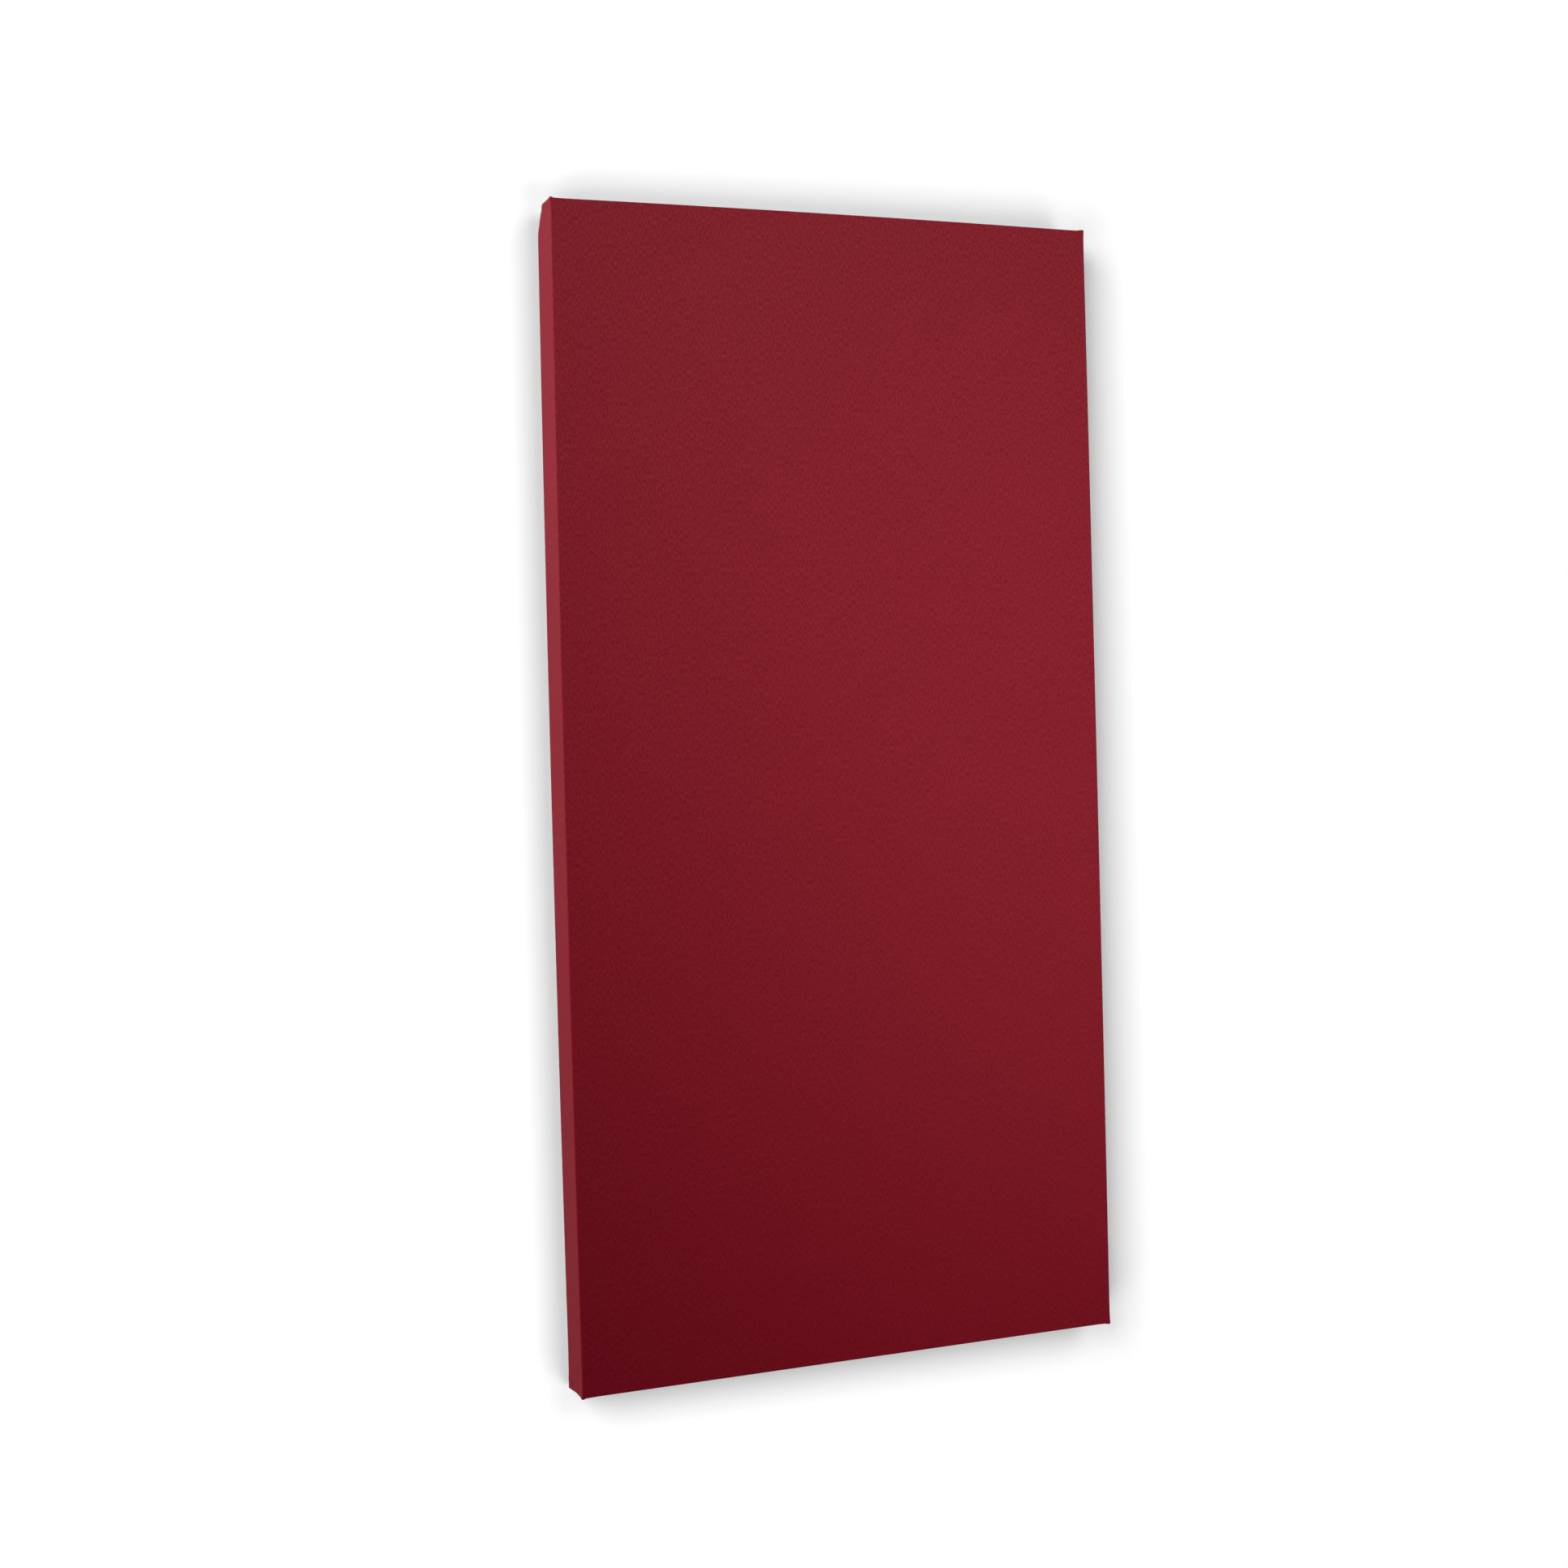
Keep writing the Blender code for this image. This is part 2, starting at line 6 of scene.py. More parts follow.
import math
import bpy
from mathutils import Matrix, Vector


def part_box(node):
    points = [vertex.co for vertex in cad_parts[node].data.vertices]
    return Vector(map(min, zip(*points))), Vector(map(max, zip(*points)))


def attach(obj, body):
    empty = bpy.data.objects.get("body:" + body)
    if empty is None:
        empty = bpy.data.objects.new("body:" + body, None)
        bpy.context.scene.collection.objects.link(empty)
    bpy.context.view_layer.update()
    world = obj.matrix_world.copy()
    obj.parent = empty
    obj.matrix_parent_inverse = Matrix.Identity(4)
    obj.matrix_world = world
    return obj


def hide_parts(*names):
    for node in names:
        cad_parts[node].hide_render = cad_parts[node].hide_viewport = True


bl_info = {
    "name": "Acoustic Panel Looks",
    "version": (1, 0, 0),
    "blender": (4, 5, 0),
    "location": "3D View > Sidebar > Acoustic Panel",
    "description": "Cloth, filling, fasteners, finishes and stage of a fabric-wrapped acoustic panel",
    "category": "Object",
}

import bmesh
import bpy
import numpy as np
from bpy.props import FloatProperty, FloatVectorProperty, PointerProperty
from mathutils import Vector

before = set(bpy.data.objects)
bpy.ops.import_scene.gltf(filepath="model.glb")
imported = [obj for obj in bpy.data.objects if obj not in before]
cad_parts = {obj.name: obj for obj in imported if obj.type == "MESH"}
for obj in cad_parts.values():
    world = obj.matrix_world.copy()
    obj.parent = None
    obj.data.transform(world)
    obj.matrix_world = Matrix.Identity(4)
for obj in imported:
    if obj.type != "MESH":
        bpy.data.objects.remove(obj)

SHEET_UV = "sheet"
WELD = 1e-6

# The imported panel's sizes, read from its cloth wrap
FOLD_PROUD = 0.0009  # how far the cloth's corner folds stand out of the top and the bottom
WRAP_LOW, WRAP_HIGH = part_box("fabric_wrap")
SIDE = WRAP_HIGH.x
TOP = WRAP_HIGH.z - FOLD_PROUD
BOTTOM = WRAP_LOW.z + FOLD_PROUD
FRONT, BACK = WRAP_LOW.y, WRAP_HIGH.y
DEPTH = BACK - FRONT
MIDDLE = (TOP + BOTTOM) / 2
HALF_HEIGHT = (TOP - BOTTOM) / 2
LEFT, RIGHT = -1, 1
UP, DOWN = 1, -1
STILES, RAILS = ("left_stile", "right_stile"), ("top_rail", "bottom_rail")
SLATS = ("hanging_rail", "upper_slat", "lower_slat")


# Numbers and shapes


def smooth_step(x):
    """Eases from 0 to 1 as x goes from 0 to 1, flat at both ends: 3x^2 - 2x^3."""
    x = np.clip(x, 0.0, 1.0)
    return x * x * (3 - 2 * x)


def positive_part(x, softness):
    """Zero for negative x and x for positive x, with a rounded turn between them."""
    return (x + np.sqrt(x * x + softness * softness)) / 2


def crowd_start(count, power):
    """Fractions from 0 to 1 that crowd towards 0: equal steps raised to a power."""
    return np.linspace(0.0, 1.0, count + 1) ** power


def crowd_ends(count, power):
    """Fractions from 0 to 1 that crowd towards both ends: a powered curve and its mirror image."""
    u = np.linspace(-1.0, 1.0, count + 1)
    return 0.5 + 0.5 * np.sign(u) * (1 - (1 - np.abs(u)) ** power)


def rounded_edge(distance, radius):
    """Height of a quarter circle at a distance in from its edge: 0 at the edge, 1 past the radius."""
    inside = np.clip(distance / radius, 0.0, 1.0)
    return np.sqrt(1 - (1 - inside) ** 2)


def ripples(points, size, seed, waves=20):
    """Soft unevenness, mostly between -2 and 2.

    The sum of sine waves about one size long, whose directions, lengths and starts come from a
    fixed seed, over the square root of half their number.
    """
    rng = np.random.default_rng(seed)
    directions = rng.normal(size=(waves, points.shape[-1]))
    directions /= np.linalg.norm(directions, axis=1, keepdims=True)
    lengths = size * rng.uniform(0.7, 1.5, (waves, 1))
    starts = rng.uniform(0, 2 * math.pi, waves)
    turns = points @ (2 * math.pi * directions / lengths).T + starts
    return np.sin(turns).sum(axis=-1) / math.sqrt(waves / 2)


def grid_of(*parts):
    """Stacks arrays that broadcast together into one array of points."""
    return np.stack(np.broadcast_arrays(*parts), axis=-1).astype(float)


def facing_out(points, outward):
    """True if a grid's faces, taken row by row, point the way that the outward vectors do."""
    along = points[1:, :-1] - points[:-1, :-1]
    across = points[:-1, 1:] - points[:-1, :-1]
    return float((np.cross(along, across) * outward[:-1, :-1]).sum()) >= 0


def grid_faces(rows, columns, start):
    """The corners of each cell of a grid whose points are numbered row by row."""
    corner = start + np.arange(rows - 1)[:, None] * columns + np.arange(columns - 1)[None, :]
    return np.stack([corner, corner + columns, corner + columns + 1, corner + 1], axis=-1).reshape(-1, 4)


def mesh_of_patches(name, patches):
    """One mesh from patches of (points, outward directions, flat coordinates), welded where they meet.

    The flat coordinates may be None, for a piece that isn't a sheet.
    """
    points, flats, faces, start = [], [], [], 0
    for place, outward, flat in patches:
        order = slice(None, None, 1 if facing_out(place, outward) else -1)
        points.append(place[:, order].reshape(-1, 3))
        if flat is not None:
            flats.append(flat[:, order].reshape(-1, 2))
        faces.append(grid_faces(*place.shape[:2], start))
        start += len(points[-1])
    points, faces = np.concatenate(points), np.concatenate(faces)
    mesh = bpy.data.meshes.new(name)
    mesh.vertices.add(len(points))
    mesh.vertices.foreach_set("co", points.astype(np.float32).ravel())
    mesh.loops.add(faces.size)
    mesh.loops.foreach_set("vertex_index", faces.astype(np.int32).ravel())
    mesh.polygons.add(len(faces))
    mesh.polygons.foreach_set("loop_start", np.arange(0, faces.size, 4, dtype=np.int32))
    mesh.update(calc_edges=True)
    if flats:
        layer = mesh.uv_layers.new(name=SHEET_UV)
        layer.data.foreach_set("uv", np.concatenate(flats)[faces.ravel()].astype(np.float32).ravel())
    weld(mesh)
    return mesh


def weld(mesh):
    """Merges points in the same place, so that seams and poles are closed."""
    bm = bmesh.new()
    bm.from_mesh(mesh)
    bmesh.ops.remove_doubles(bm, verts=bm.verts, dist=WELD)
    bm.to_mesh(mesh)
    bm.free()
    mesh.shade_smooth()


def level_patch(x, y, z, facing):
    """A patch that faces straight forwards (-1) or backwards (1), and lies flat as it is."""
    points = grid_of(x, y, z)
    return points, np.broadcast_to((0.0, facing, 0.0), points.shape), grid_of(x, z)


def turned_patch(points, middle, place, axes):
    """A patch round a middle, turned so that its own axes lie along the given ones, in its place."""
    return place + points @ axes, (points - middle) @ axes, None


def add_object(name, data):
    """A new object in the scene."""
    thing = bpy.data.objects.new(name, data)
    bpy.context.scene.collection.objects.link(thing)
    return thing


def add_piece(name, shape, material, stands_for=(), body="panel"):
    """A finished piece, made from a mesh or from patches, on its CAD body, and what it stands for."""
    mesh = mesh_of_patches(name, shape) if isinstance(shape, list) else shape
    mesh.materials.append(material)
    piece = add_object(name, mesh)
    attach(piece, body)
    if stands_for:
        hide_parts(*stands_for)
    return piece


def thicken(piece, thickness):
    """Gives a sheet its thickness, on the side away from its outward faces."""
    wall = piece.modifiers.new("thickness", "SOLIDIFY")
    wall.thickness = thickness
    wall.offset = -1.0


# Settings


def metres(name, description, default):
    return FloatProperty(name=name, description=description, default=default, unit="LENGTH")


def fraction(name, description, default):
    return FloatProperty(
        name=name, description=description, default=default, min=0, max=1, subtype="FACTOR"
    )


def own_colour(name, description, default):
    return FloatVectorProperty(
        name=name, description=description, default=default, subtype="COLOR", size=4, min=0, max=1
    )


class ClothSettings(bpy.types.PropertyGroup):
    """Sizes and colours of the cloth wrap"""

    colour: own_colour("Colour", "The cloth's colour at the bottom", (0.188, 0.0030, 0.0115, 1.0))
    # Painted sheen: the paler colour at the top stands in for the gloss of lamps above.
    top_colour_with_painted_sheen: own_colour("Faded colour", "The cloth's colour at the top", (0.199, 0.0116, 0.0202, 1.0))
    yarn_spread: FloatVectorProperty(
        name="Yarn spread",
        description="From the deepest yarns to the palest, as a share of the colour",
        default=(0.34, 1.5, 0.95),
        size=3,
    )
    gloss: fraction("Gloss", "Specular level of the cloth", 0.05)
    nap: fraction("Nap", "Sheen of the fine fibres", 0.03)
    mottle: fraction("Mottle", "Broad unevenness of the dye", 0.02)
    thread_pitch: metres("Thread pitch", "Distance between threads", 0.0009)
    thickness: metres("Thickness", "Thickness of the cloth", 0.00045)
    edge_radius: metres("Edge radius", "Radius of the cloth over the panel's edges", 0.0013)
    turned_in: metres("Turned in", "How far the cloth comes round onto the back", 0.030)
    fold_width: metres("Fold width", "Width of a corner fold at the back", 0.044)
    fold_height: metres("Fold height", "Thickness of the two layers of a fold", 0.0009)
    pucker: metres("Pucker", "Width of a corner fold at the front", 0.0016)
    mitre_depth: metres("Mitre depth", "How deep the returns dip where they meet", 0.0006)
    unevenness: metres("Unevenness", "Soft waves of the front face", 0.00008)
    left_bow: metres("Left bow", "How far the left side bows out halfway up", 0.0021)
    right_bow: metres("Right bow", "How far the right side bows out halfway up", 0.0010)
    top_bow: metres("Top bow", "How far the top bows up", 0.0015)
    left_swell: metres("Left swell", "How far the left side stands out all over", 0.0006)
    right_swell: metres("Right swell", "How far the right side stands out all over", 0.0019)
    top_swell: metres("Top swell", "How far the top stands out all over", 0.0008)
    bottom_swell: metres("Bottom swell", "How far the bottom stands out all over", 0.0003)
    corner_ear: metres("Corner ear", "How far the cloth's front corners stand out", 0.0009)
    fold_bulk: metres("Fold bulk", "How far the rear bottom left fold stands out", 0.0018)
    drawn_across: metres("Drawn in across", "The drawn-in corner's reach along the top", 0.025)
    drawn_forward: metres("Drawn in forward", "The drawn-in corner's reach towards the front", 0.018)
    drawn_down: metres("Drawn in down", "The drawn-in corner's reach down the side", 0.027)
    drawn_bulge: metres("Drawn in bulge", "How far the drawn-in corner swells", 0.0014)


class BackSettings(bpy.types.PropertyGroup):
    """Sizes and colours of the dust cover, the tissue and the filling"""

    cover_colour: own_colour("Cover colour", "The dust cover's own colour", (0.020, 0.020, 0.022, 1.0))
    cover_thickness: metres("Cover thickness", "Thickness of the dust cover", 0.00035)
    cover_sag: metres("Cover sag", "How far the cover sinks between the boards", 0.0009)
    bond_pitch: metres("Bond pitch", "Distance between the cover's pressed points", 0.0024)
    edge_curl: metres("Edge curl", "How far the cover's edge lifts between staples", 0.0003)
    wrinkles: metres("Wrinkles", "Height of the wrinkles round a staple", 0.00022)
    staple_dent: metres("Staple dent", "How deep a staple presses the cover", 0.00022)
    staple_spacing: metres("Staple spacing", "Distance between staples", 0.063)
    tissue_thickness: metres("Tissue thickness", "Thickness of the tissue behind the cloth", 0.0004)
    wool_edge: metres("Wool edge", "Radius of the filling's edges", 0.0025)


class HardwareSettings(bpy.types.PropertyGroup):
    """Sizes and colours of the fasteners, the boards and the cleats"""

    aluminium_colour: own_colour("Aluminium colour", "The cleats' own colour", (0.74, 0.75, 0.76, 1.0))
    zinc_colour: own_colour("Zinc colour", "The screws' and the staples' own colour", (0.66, 0.64, 0.58, 1.0))
    staple_crown: metres("Staple crown", "Width of a staple", 0.0115)
    cleat_edge: metres("Cleat edge", "Rounding of the cleats' edges", 0.0002)
    ring_pine: metres("Pine ring", "Distance between growth rings of the frame", 0.0042)


class StageSettings(bpy.types.PropertyGroup):
    """The camera, the light and the wall"""

    focal_length: FloatProperty(
        name="Focal length", description="Of the camera", default=50.79, unit="CAMERA"
    )
    room_light: fraction("Room light", "Strength of the even light in front", 0.02)
    back_light: fraction("Back light", "Strength of the even light behind", 0.42)
    side_light: FloatProperty(
        name="Side light", description="Power of the lamp on the left", default=50.0, unit="POWER"
    )
    wall_tone: fraction("Wall tone", "The white wall's own tone", 0.8)


# Shader nodes


class Nodes:
    """A node tree. Each call adds a node, and takes numbers, colours or other nodes' outputs."""

    def __init__(self, tree):
        self.tree = tree

    def feed(self, socket, value):
        """Links a socket to another, or sets its value. A colour's fourth part is 1."""
        if isinstance(value, bpy.types.NodeSocket):
            self.tree.links.new(value, socket)
        elif hasattr(value, "__len__"):
            socket.default_value = (*value[:3], 1.0)[: len(socket.default_value)]
        else:
            socket.default_value = value

    def add(self, kind, inputs=(), **properties):
        """A new node's outputs. Its properties are set first, then its inputs, by name or in order."""
        node = self.tree.nodes.new("ShaderNode" + kind)
        for key, value in properties.items():
            setattr(node, key, value)
        for key, value in inputs.items() if isinstance(inputs, dict) else enumerate(inputs):
            self.feed(node.inputs[key], value)
        return node.outputs

    def calculate(self, operation, *values):
        return self.add("Math", values, operation=operation)[0]

    def times(self, first, second, *more):
        """The product of two numbers, with a third one added to it where it is given."""
        return self.calculate("MULTIPLY_ADD" if more else "MULTIPLY", first, second, *more)

    def remap(self, value, low, high, to_low=0.0, to_high=1.0):
        return self.add("MapRange", (value, low, high, to_low, to_high), clamp=True)["Result"]

    def stretch(self, vector, scales):
        """A vector with each of its parts multiplied by a number of its own."""
        return self.add("VectorMath", (vector, scales), operation="MULTIPLY")["Vector"]

    def scale(self, vector, amount):
        """A vector, or a colour that gets lighter or darker, multiplied by one number."""
        return self.add("VectorMath", {0: vector, "Scale": amount}, operation="SCALE")["Vector"]

    def noise(self, vector, scale, detail=2.0, roughness=0.5):
        """Noise of one scale, or of a scale for each axis, which draws it out."""
        if hasattr(scale, "__len__"):
            vector, scale = self.stretch(vector, scale), 1.0
        inputs = {"Vector": vector, "Scale": scale, "Detail": detail, "Roughness": roughness}
        return self.add("TexNoise", inputs)["Fac"]

    def mix(self, factor, first, second, blend="MIX"):
        inputs = {"Factor": factor, "A": first, "B": second}
        return self.add("Mix", inputs, data_type="RGBA", blend_type=blend)["Result"]

    def bump(self, height, distance, strength):
        return self.add("Bump", {"Height": height, "Distance": distance, "Strength": strength})["Normal"]

    def parts(self, vector):
        """The three parts of a vector, named X, Y and Z."""
        return self.add("SeparateXYZ", (vector,))

    def place(self):
        return self.add("TexCoord")["Object"]

    def sheet_place(self):
        """Where each point lies on its sheet laid flat, in metres."""
        return self.add("UVMap", uv_map=SHEET_UV)["UV"]

    def effect(self, name, **inputs):
        return self.add("Group", inputs, node_tree=bpy.data.node_groups[name])

    def dusty(self, colour, amount, dust_colour):
        """A colour under some dust."""
        return self.mix(self.effect("dust", Vector=self.place(), Amount=amount)["Mask"], colour, dust_colour)


# Effects that several materials share


class Effect(Nodes):
    """A shader node group that takes a vector and numbers, and gives numbers."""

    def __init__(self, name, **defaults):
        super().__init__(bpy.data.node_groups.new(name, "ShaderNodeTree"))
        self.tree.interface.new_socket("Vector", in_out="INPUT", socket_type="NodeSocketVector")
        for label, value in defaults.items():
            socket = self.tree.interface.new_socket(label, in_out="INPUT", socket_type="NodeSocketFloat")
            socket.default_value = value
        self.given = self.tree.nodes.new("NodeGroupInput").outputs

    def give(self, **results):
        for label in results:
            self.tree.interface.new_socket(label, in_out="OUTPUT", socket_type="NodeSocketFloat")
        output = self.tree.nodes.new("NodeGroupOutput")
        for label, value in results.items():
            self.feed(output.inputs[label], value)


def weave_group():
    """A plain weave: threads over and under in turn, a sine across times a sine along, with uneven yarn."""
    weave = Effect("weave", Pitch=0.001)
    place = weave.given["Vector"]
    wander = weave.times(weave.noise(place, 90.0, 1.0), 6.0)
    rate = weave.calculate("DIVIDE", 2 * math.pi, weave.times(weave.given["Pitch"], 2.0))
    parts = weave.parts(place)
    angles = [weave.times(parts[axis], rate, wander) for axis in "XY"]
    over = weave.times(*(weave.calculate("SINE", angle) for angle in angles))
    streaks = weave.noise(place, (900.0, 230.0, 1.0))
    weft = weave.noise(place, (160.0, 1000.0, 1.0), 1.0)
    fuzz = weave.noise(place, 1300.0, 1.0)
    yarn = weave.times(streaks, 0.6, weave.times(weft, 0.15))
    yarn = weave.times(fuzz, 0.25, yarn)
    weave.give(Height=weave.times(over, 0.5, 0.5), Yarn=weave.remap(yarn, 0.36, 0.64))


def grain_group():
    """Wood grain along Z: rings of a bent wave, and fine pores drawn out along the grain."""
    grain = Effect("wood_grain", Ring=0.008, Bend=0.5)
    drawn = grain.stretch(grain.given["Vector"], (1.0, 1.0, 0.08))
    parts = grain.parts(drawn)
    across = grain.calculate("ADD", parts["X"], grain.times(parts["Y"], 0.6))
    bend = grain.times(grain.given["Bend"], 0.05)
    pushed = grain.times(grain.noise(drawn, 14.0, 3.0), bend, across)
    turn = grain.calculate("FRACT", grain.calculate("DIVIDE", pushed, grain.given["Ring"]))
    pores = grain.noise(grain.given["Vector"], (1500.0, 1500.0, 60.0), 3.0, 0.6)
    grain.give(Rings=grain.calculate("POWER", turn, 2.5), Pores=pores)


def brushed_group():
    """Fine lines drawn along X by rolling or turning, and soft handling marks."""
    metal = Effect("brushed", Fineness=1.0)
    place = metal.given["Vector"]
    drawn = metal.scale(metal.stretch(place, (14.0, 2600.0, 2600.0)), metal.given["Fineness"])
    metal.give(Lines=metal.noise(drawn, 1.0, 3.0, 0.6), Marks=metal.noise(place, 55.0, 4.0, 0.6))


def dust_group():
    """Fine dust and small handling marks: a mask of specks on soft patches."""
    dust = Effect("dust", Amount=0.3)
    place = dust.given["Vector"]
    patches = dust.remap(dust.noise(place, 9.0, 3.0), 0.42, 0.7, 0.2)
    specks = dust.remap(dust.noise(place, 900.0, 2.0, 0.7), 0.52, 0.72)
    mask = dust.times(patches, specks)
    dust.give(Mask=dust.times(mask, dust.given["Amount"]))


# Materials

# The finishes' own colours. Where there are two, they are the ends of a range.
TISSUE = (0.60, 0.57, 0.49), (0.80, 0.78, 0.72)
WOOL = (0.24, 0.18, 0.075), (0.52, 0.43, 0.23)
WOOL_CLOUD = (0.44, 0.30, 0.12)
PINE = (0.70, 0.50, 0.28), (0.47, 0.27, 0.12)
VENEER = (0.60, 0.44, 0.27), (0.50, 0.34, 0.19)
PLY_PAIR = 0.0035  # thickness of two plies of the plywood
PLIES = (0.36, 0.22, 0.12), (0.62, 0.45, 0.27)
RUBBER = (0.014, 0.014, 0.015), (0.030, 0.030, 0.031)
BLUE_ZINC = (0.58, 0.60, 0.64)
COVER_DUST, RUBBER_DUST = (0.16, 0.15, 0.14), (0.18, 0.17, 0.16)
GREY_DUST, SAWDUST = (0.45, 0.44, 0.42), (0.72, 0.58, 0.40)
NEUTRAL = (0.06, 0.06, 0.06)  # the cloth's colour for the light that it throws on the wall


class Surface(Nodes):
    """A material with its Principled BSDF, whose constant values are set on its own sockets."""

    def __init__(self, name, **constants):
        self.material = bpy.data.materials.new(name)
        self.material.use_nodes = True
        super().__init__(self.material.node_tree)
        self.shader = self.tree.nodes["Principled BSDF"].inputs
        for label, value in constants.items():
            self.shader[label.replace("_", " ")].default_value = value

    def finish(self, colour, normal, roughness=None):
        """Links what varies over the surface, and gives back the material."""
        self.feed(self.shader["Base Color"], colour)
        self.feed(self.shader["Normal"], normal)
        if roughness is not None:
            self.feed(self.shader["Roughness"], roughness)
        return self.material


def red_cloth(settings):
    """Matte dark red woven cloth: uneven yarns, fine weave relief, a faint gloss, and a painted sheen that
    makes it a little paler upwards.

    The light that it throws on the white wall is kept neutral, so that the wall stays white.
    """
    cloth = Surface(
        "woven_red_cloth",
        Roughness=0.62,
        Specular_IOR_Level=settings.gloss,
        Sheen_Weight=settings.nap,
        Sheen_Roughness=0.5,
    )
    place = cloth.sheet_place()
    weave = cloth.effect("weave", Vector=place, Pitch=settings.thread_pitch)
    dye = cloth.noise(place, 16.0, 4.0, 0.6)
    mottle = cloth.remap(dye, 0.3, 0.7, 1 - settings.mottle, 1 + settings.mottle)
    # Painted sheen: the colour grows paler from the bottom to the top, standing in for the gloss of lamps
    # above.
    painted_sheen_share = cloth.remap(cloth.parts(cloth.place())["Z"], BOTTOM, TOP)
    colour = cloth.scale(cloth.mix(painted_sheen_share, settings.colour, settings.top_colour_with_painted_sheen), mottle)
    deep, pale = ([1 + side * share / 2 for share in settings.yarn_spread] for side in (-1, 1))
    colour = cloth.mix(1.0, colour, cloth.mix(weave["Yarn"], deep, pale), "MULTIPLY")
    bounced = cloth.add("LightPath")["Is Diffuse Ray"]
    relief = cloth.times(weave["Yarn"], 0.8, weave["Height"])
    return cloth.finish(cloth.mix(bounced, colour, NEUTRAL), cloth.bump(relief, 0.00012, 0.4))


def non_woven(settings):
    """Black spun-bonded sheet: tangled fibres, pressed together at small points in rows."""
    cover = Surface("spun_non_woven", Specular_IOR_Level=0.25, Sheen_Weight=0.08)
    place = cover.sheet_place()
    parts, rate = cover.parts(place), 2 * math.pi / settings.bond_pitch
    waves = [cover.calculate("SINE", cover.times(parts[axis], rate)) for axis in "XY"]
    bond = cover.remap(cover.times(*waves), 0.35, 0.7)
    fibre = cover.noise(place, (420.0, 900.0, 1.0), 4.0, 0.7)
    cloud = cover.times(cover.noise(place, 28.0, 3.0), 0.5, 0.35)
    colour = cover.scale(settings.cover_colour, cover.times(fibre, 0.9, cloud))
    relief = cover.calculate("SUBTRACT", fibre, cover.times(bond, 0.9))
    return cover.finish(
        cover.dusty(colour, 0.5, COVER_DUST),
        cover.bump(relief, 0.0002, 0.6),
        cover.remap(bond, 0.0, 1.0, 0.9, 0.55),
    )


def tissue():
    """Pale glass tissue: chopped fibres lying every way in a thin binder."""
    sheet = Surface("glass_tissue", Roughness=0.9, Specular_IOR_Level=0.2)
    place = sheet.sheet_place()
    lays = [sheet.noise(place, scales, 3.0, 0.6) for scales in ((300.0, 2200.0, 1.0), (2000.0, 260.0, 1.0))]
    fibre = sheet.calculate("MAXIMUM", *lays)
    colour = sheet.mix(sheet.remap(fibre, 0.45, 0.75), *TISSUE)
    return sheet.finish(colour, sheet.bump(fibre, 0.0002, 0.5))


def mineral_wool():
    """Olive-brown stone wool: layered fibres with paler strands, browner in soft clouds."""
    wool = Surface("stone_wool", Roughness=1.0, Specular_IOR_Level=0.1, Sheen_Weight=0.15)
    place = wool.place()
    layers = wool.noise(place, (60.0, 700.0, 60.0), 5.0, 0.7)
    strands = wool.noise(place, (900.0, 900.0, 260.0), 4.0, 0.7)
    tone = wool.remap(wool.times(layers, 0.5, strands), 0.5, 1.0)
    colour = wool.mix(tone, *WOOL)
    cloud = wool.remap(wool.noise(place, 22.0, 3.0), 0.4, 0.7, 0.0, 0.4)
    return wool.finish(wool.mix(cloud, colour, WOOL_CLOUD), wool.bump(strands, 0.0006, 0.8))


def grain_along(board, axis, ring, bend):
    """The grain of a board that lies along X or Z."""
    parts = board.parts(board.place())
    turned = board.add("CombineXYZ", [parts[part] for part in {"X": "ZYX", "Z": "XYZ"}[axis]])
    return board.effect("wood_grain", Vector=turned[0], Ring=ring, Bend=bend)


def pine(axis, ring):
    """Sawn pine: growth rings and pores along the board, with a rough face."""
    board = Surface(f"pine_{axis.lower()}", Specular_IOR_Level=0.35)
    grain = grain_along(board, axis, ring, 0.5)
    rings, pores = grain["Rings"], grain["Pores"]
    colour = board.scale(board.mix(rings, *PINE), board.remap(pores, 0.35, 0.7, 0.82, 1.08))
    return board.finish(
        board.dusty(colour, 0.35, SAWDUST),
        board.bump(board.times(rings, 0.4, pores), 0.0002, 0.5),
        board.remap(rings, 0.0, 1.0, 0.72, 0.52),
    )


def plywood(axis):
    """Birch plywood: a peeled face veneer, and plies in turn dark and light on the edges."""
    board = Surface(f"plywood_{axis.lower()}", Roughness=0.6, Specular_IOR_Level=0.35)
    grain = grain_along(board, axis, 0.021, 1.6)
    face = board.mix(grain["Rings"], *VENEER)
    deep = board.times(board.parts(board.place())["Y"], 2 * math.pi / PLY_PAIR)
    ply = board.remap(board.calculate("SINE", deep), -0.2, 0.2)
    edge = board.mix(ply, *PLIES)
    normal = board.parts(board.add("TexCoord")["Normal"])["Y"]
    is_face = board.remap(board.calculate("ABSOLUTE", normal), 0.6, 0.8)
    pores = board.remap(grain["Pores"], 0.35, 0.7, 0.86, 1.06)
    colour = board.scale(board.mix(is_face, edge, face), pores)
    return board.finish(colour, board.bump(grain["Pores"], 0.00015, 0.5))


def aluminium(settings):
    """Mill-finish aluminium strip: drawn lines along its length, scuffs and a little dust."""
    metal = Surface("mill_aluminium", Metallic=1.0)
    marks = metal.effect("brushed", Vector=metal.place(), Fineness=1.0)
    lines = metal.remap(marks["Lines"], 0.3, 0.7, 0.90, 1.04)
    tone = metal.times(lines, metal.remap(marks["Marks"], 0.35, 0.7, 0.94, 1.03))
    rough = metal.times(marks["Lines"], 0.20, 0.22)
    return metal.finish(
        metal.dusty(metal.scale(settings.aluminium_colour, tone), 0.4, GREY_DUST),
        metal.bump(marks["Lines"], 0.00004, 0.35),
        metal.times(marks["Marks"], 0.12, rough),
    )


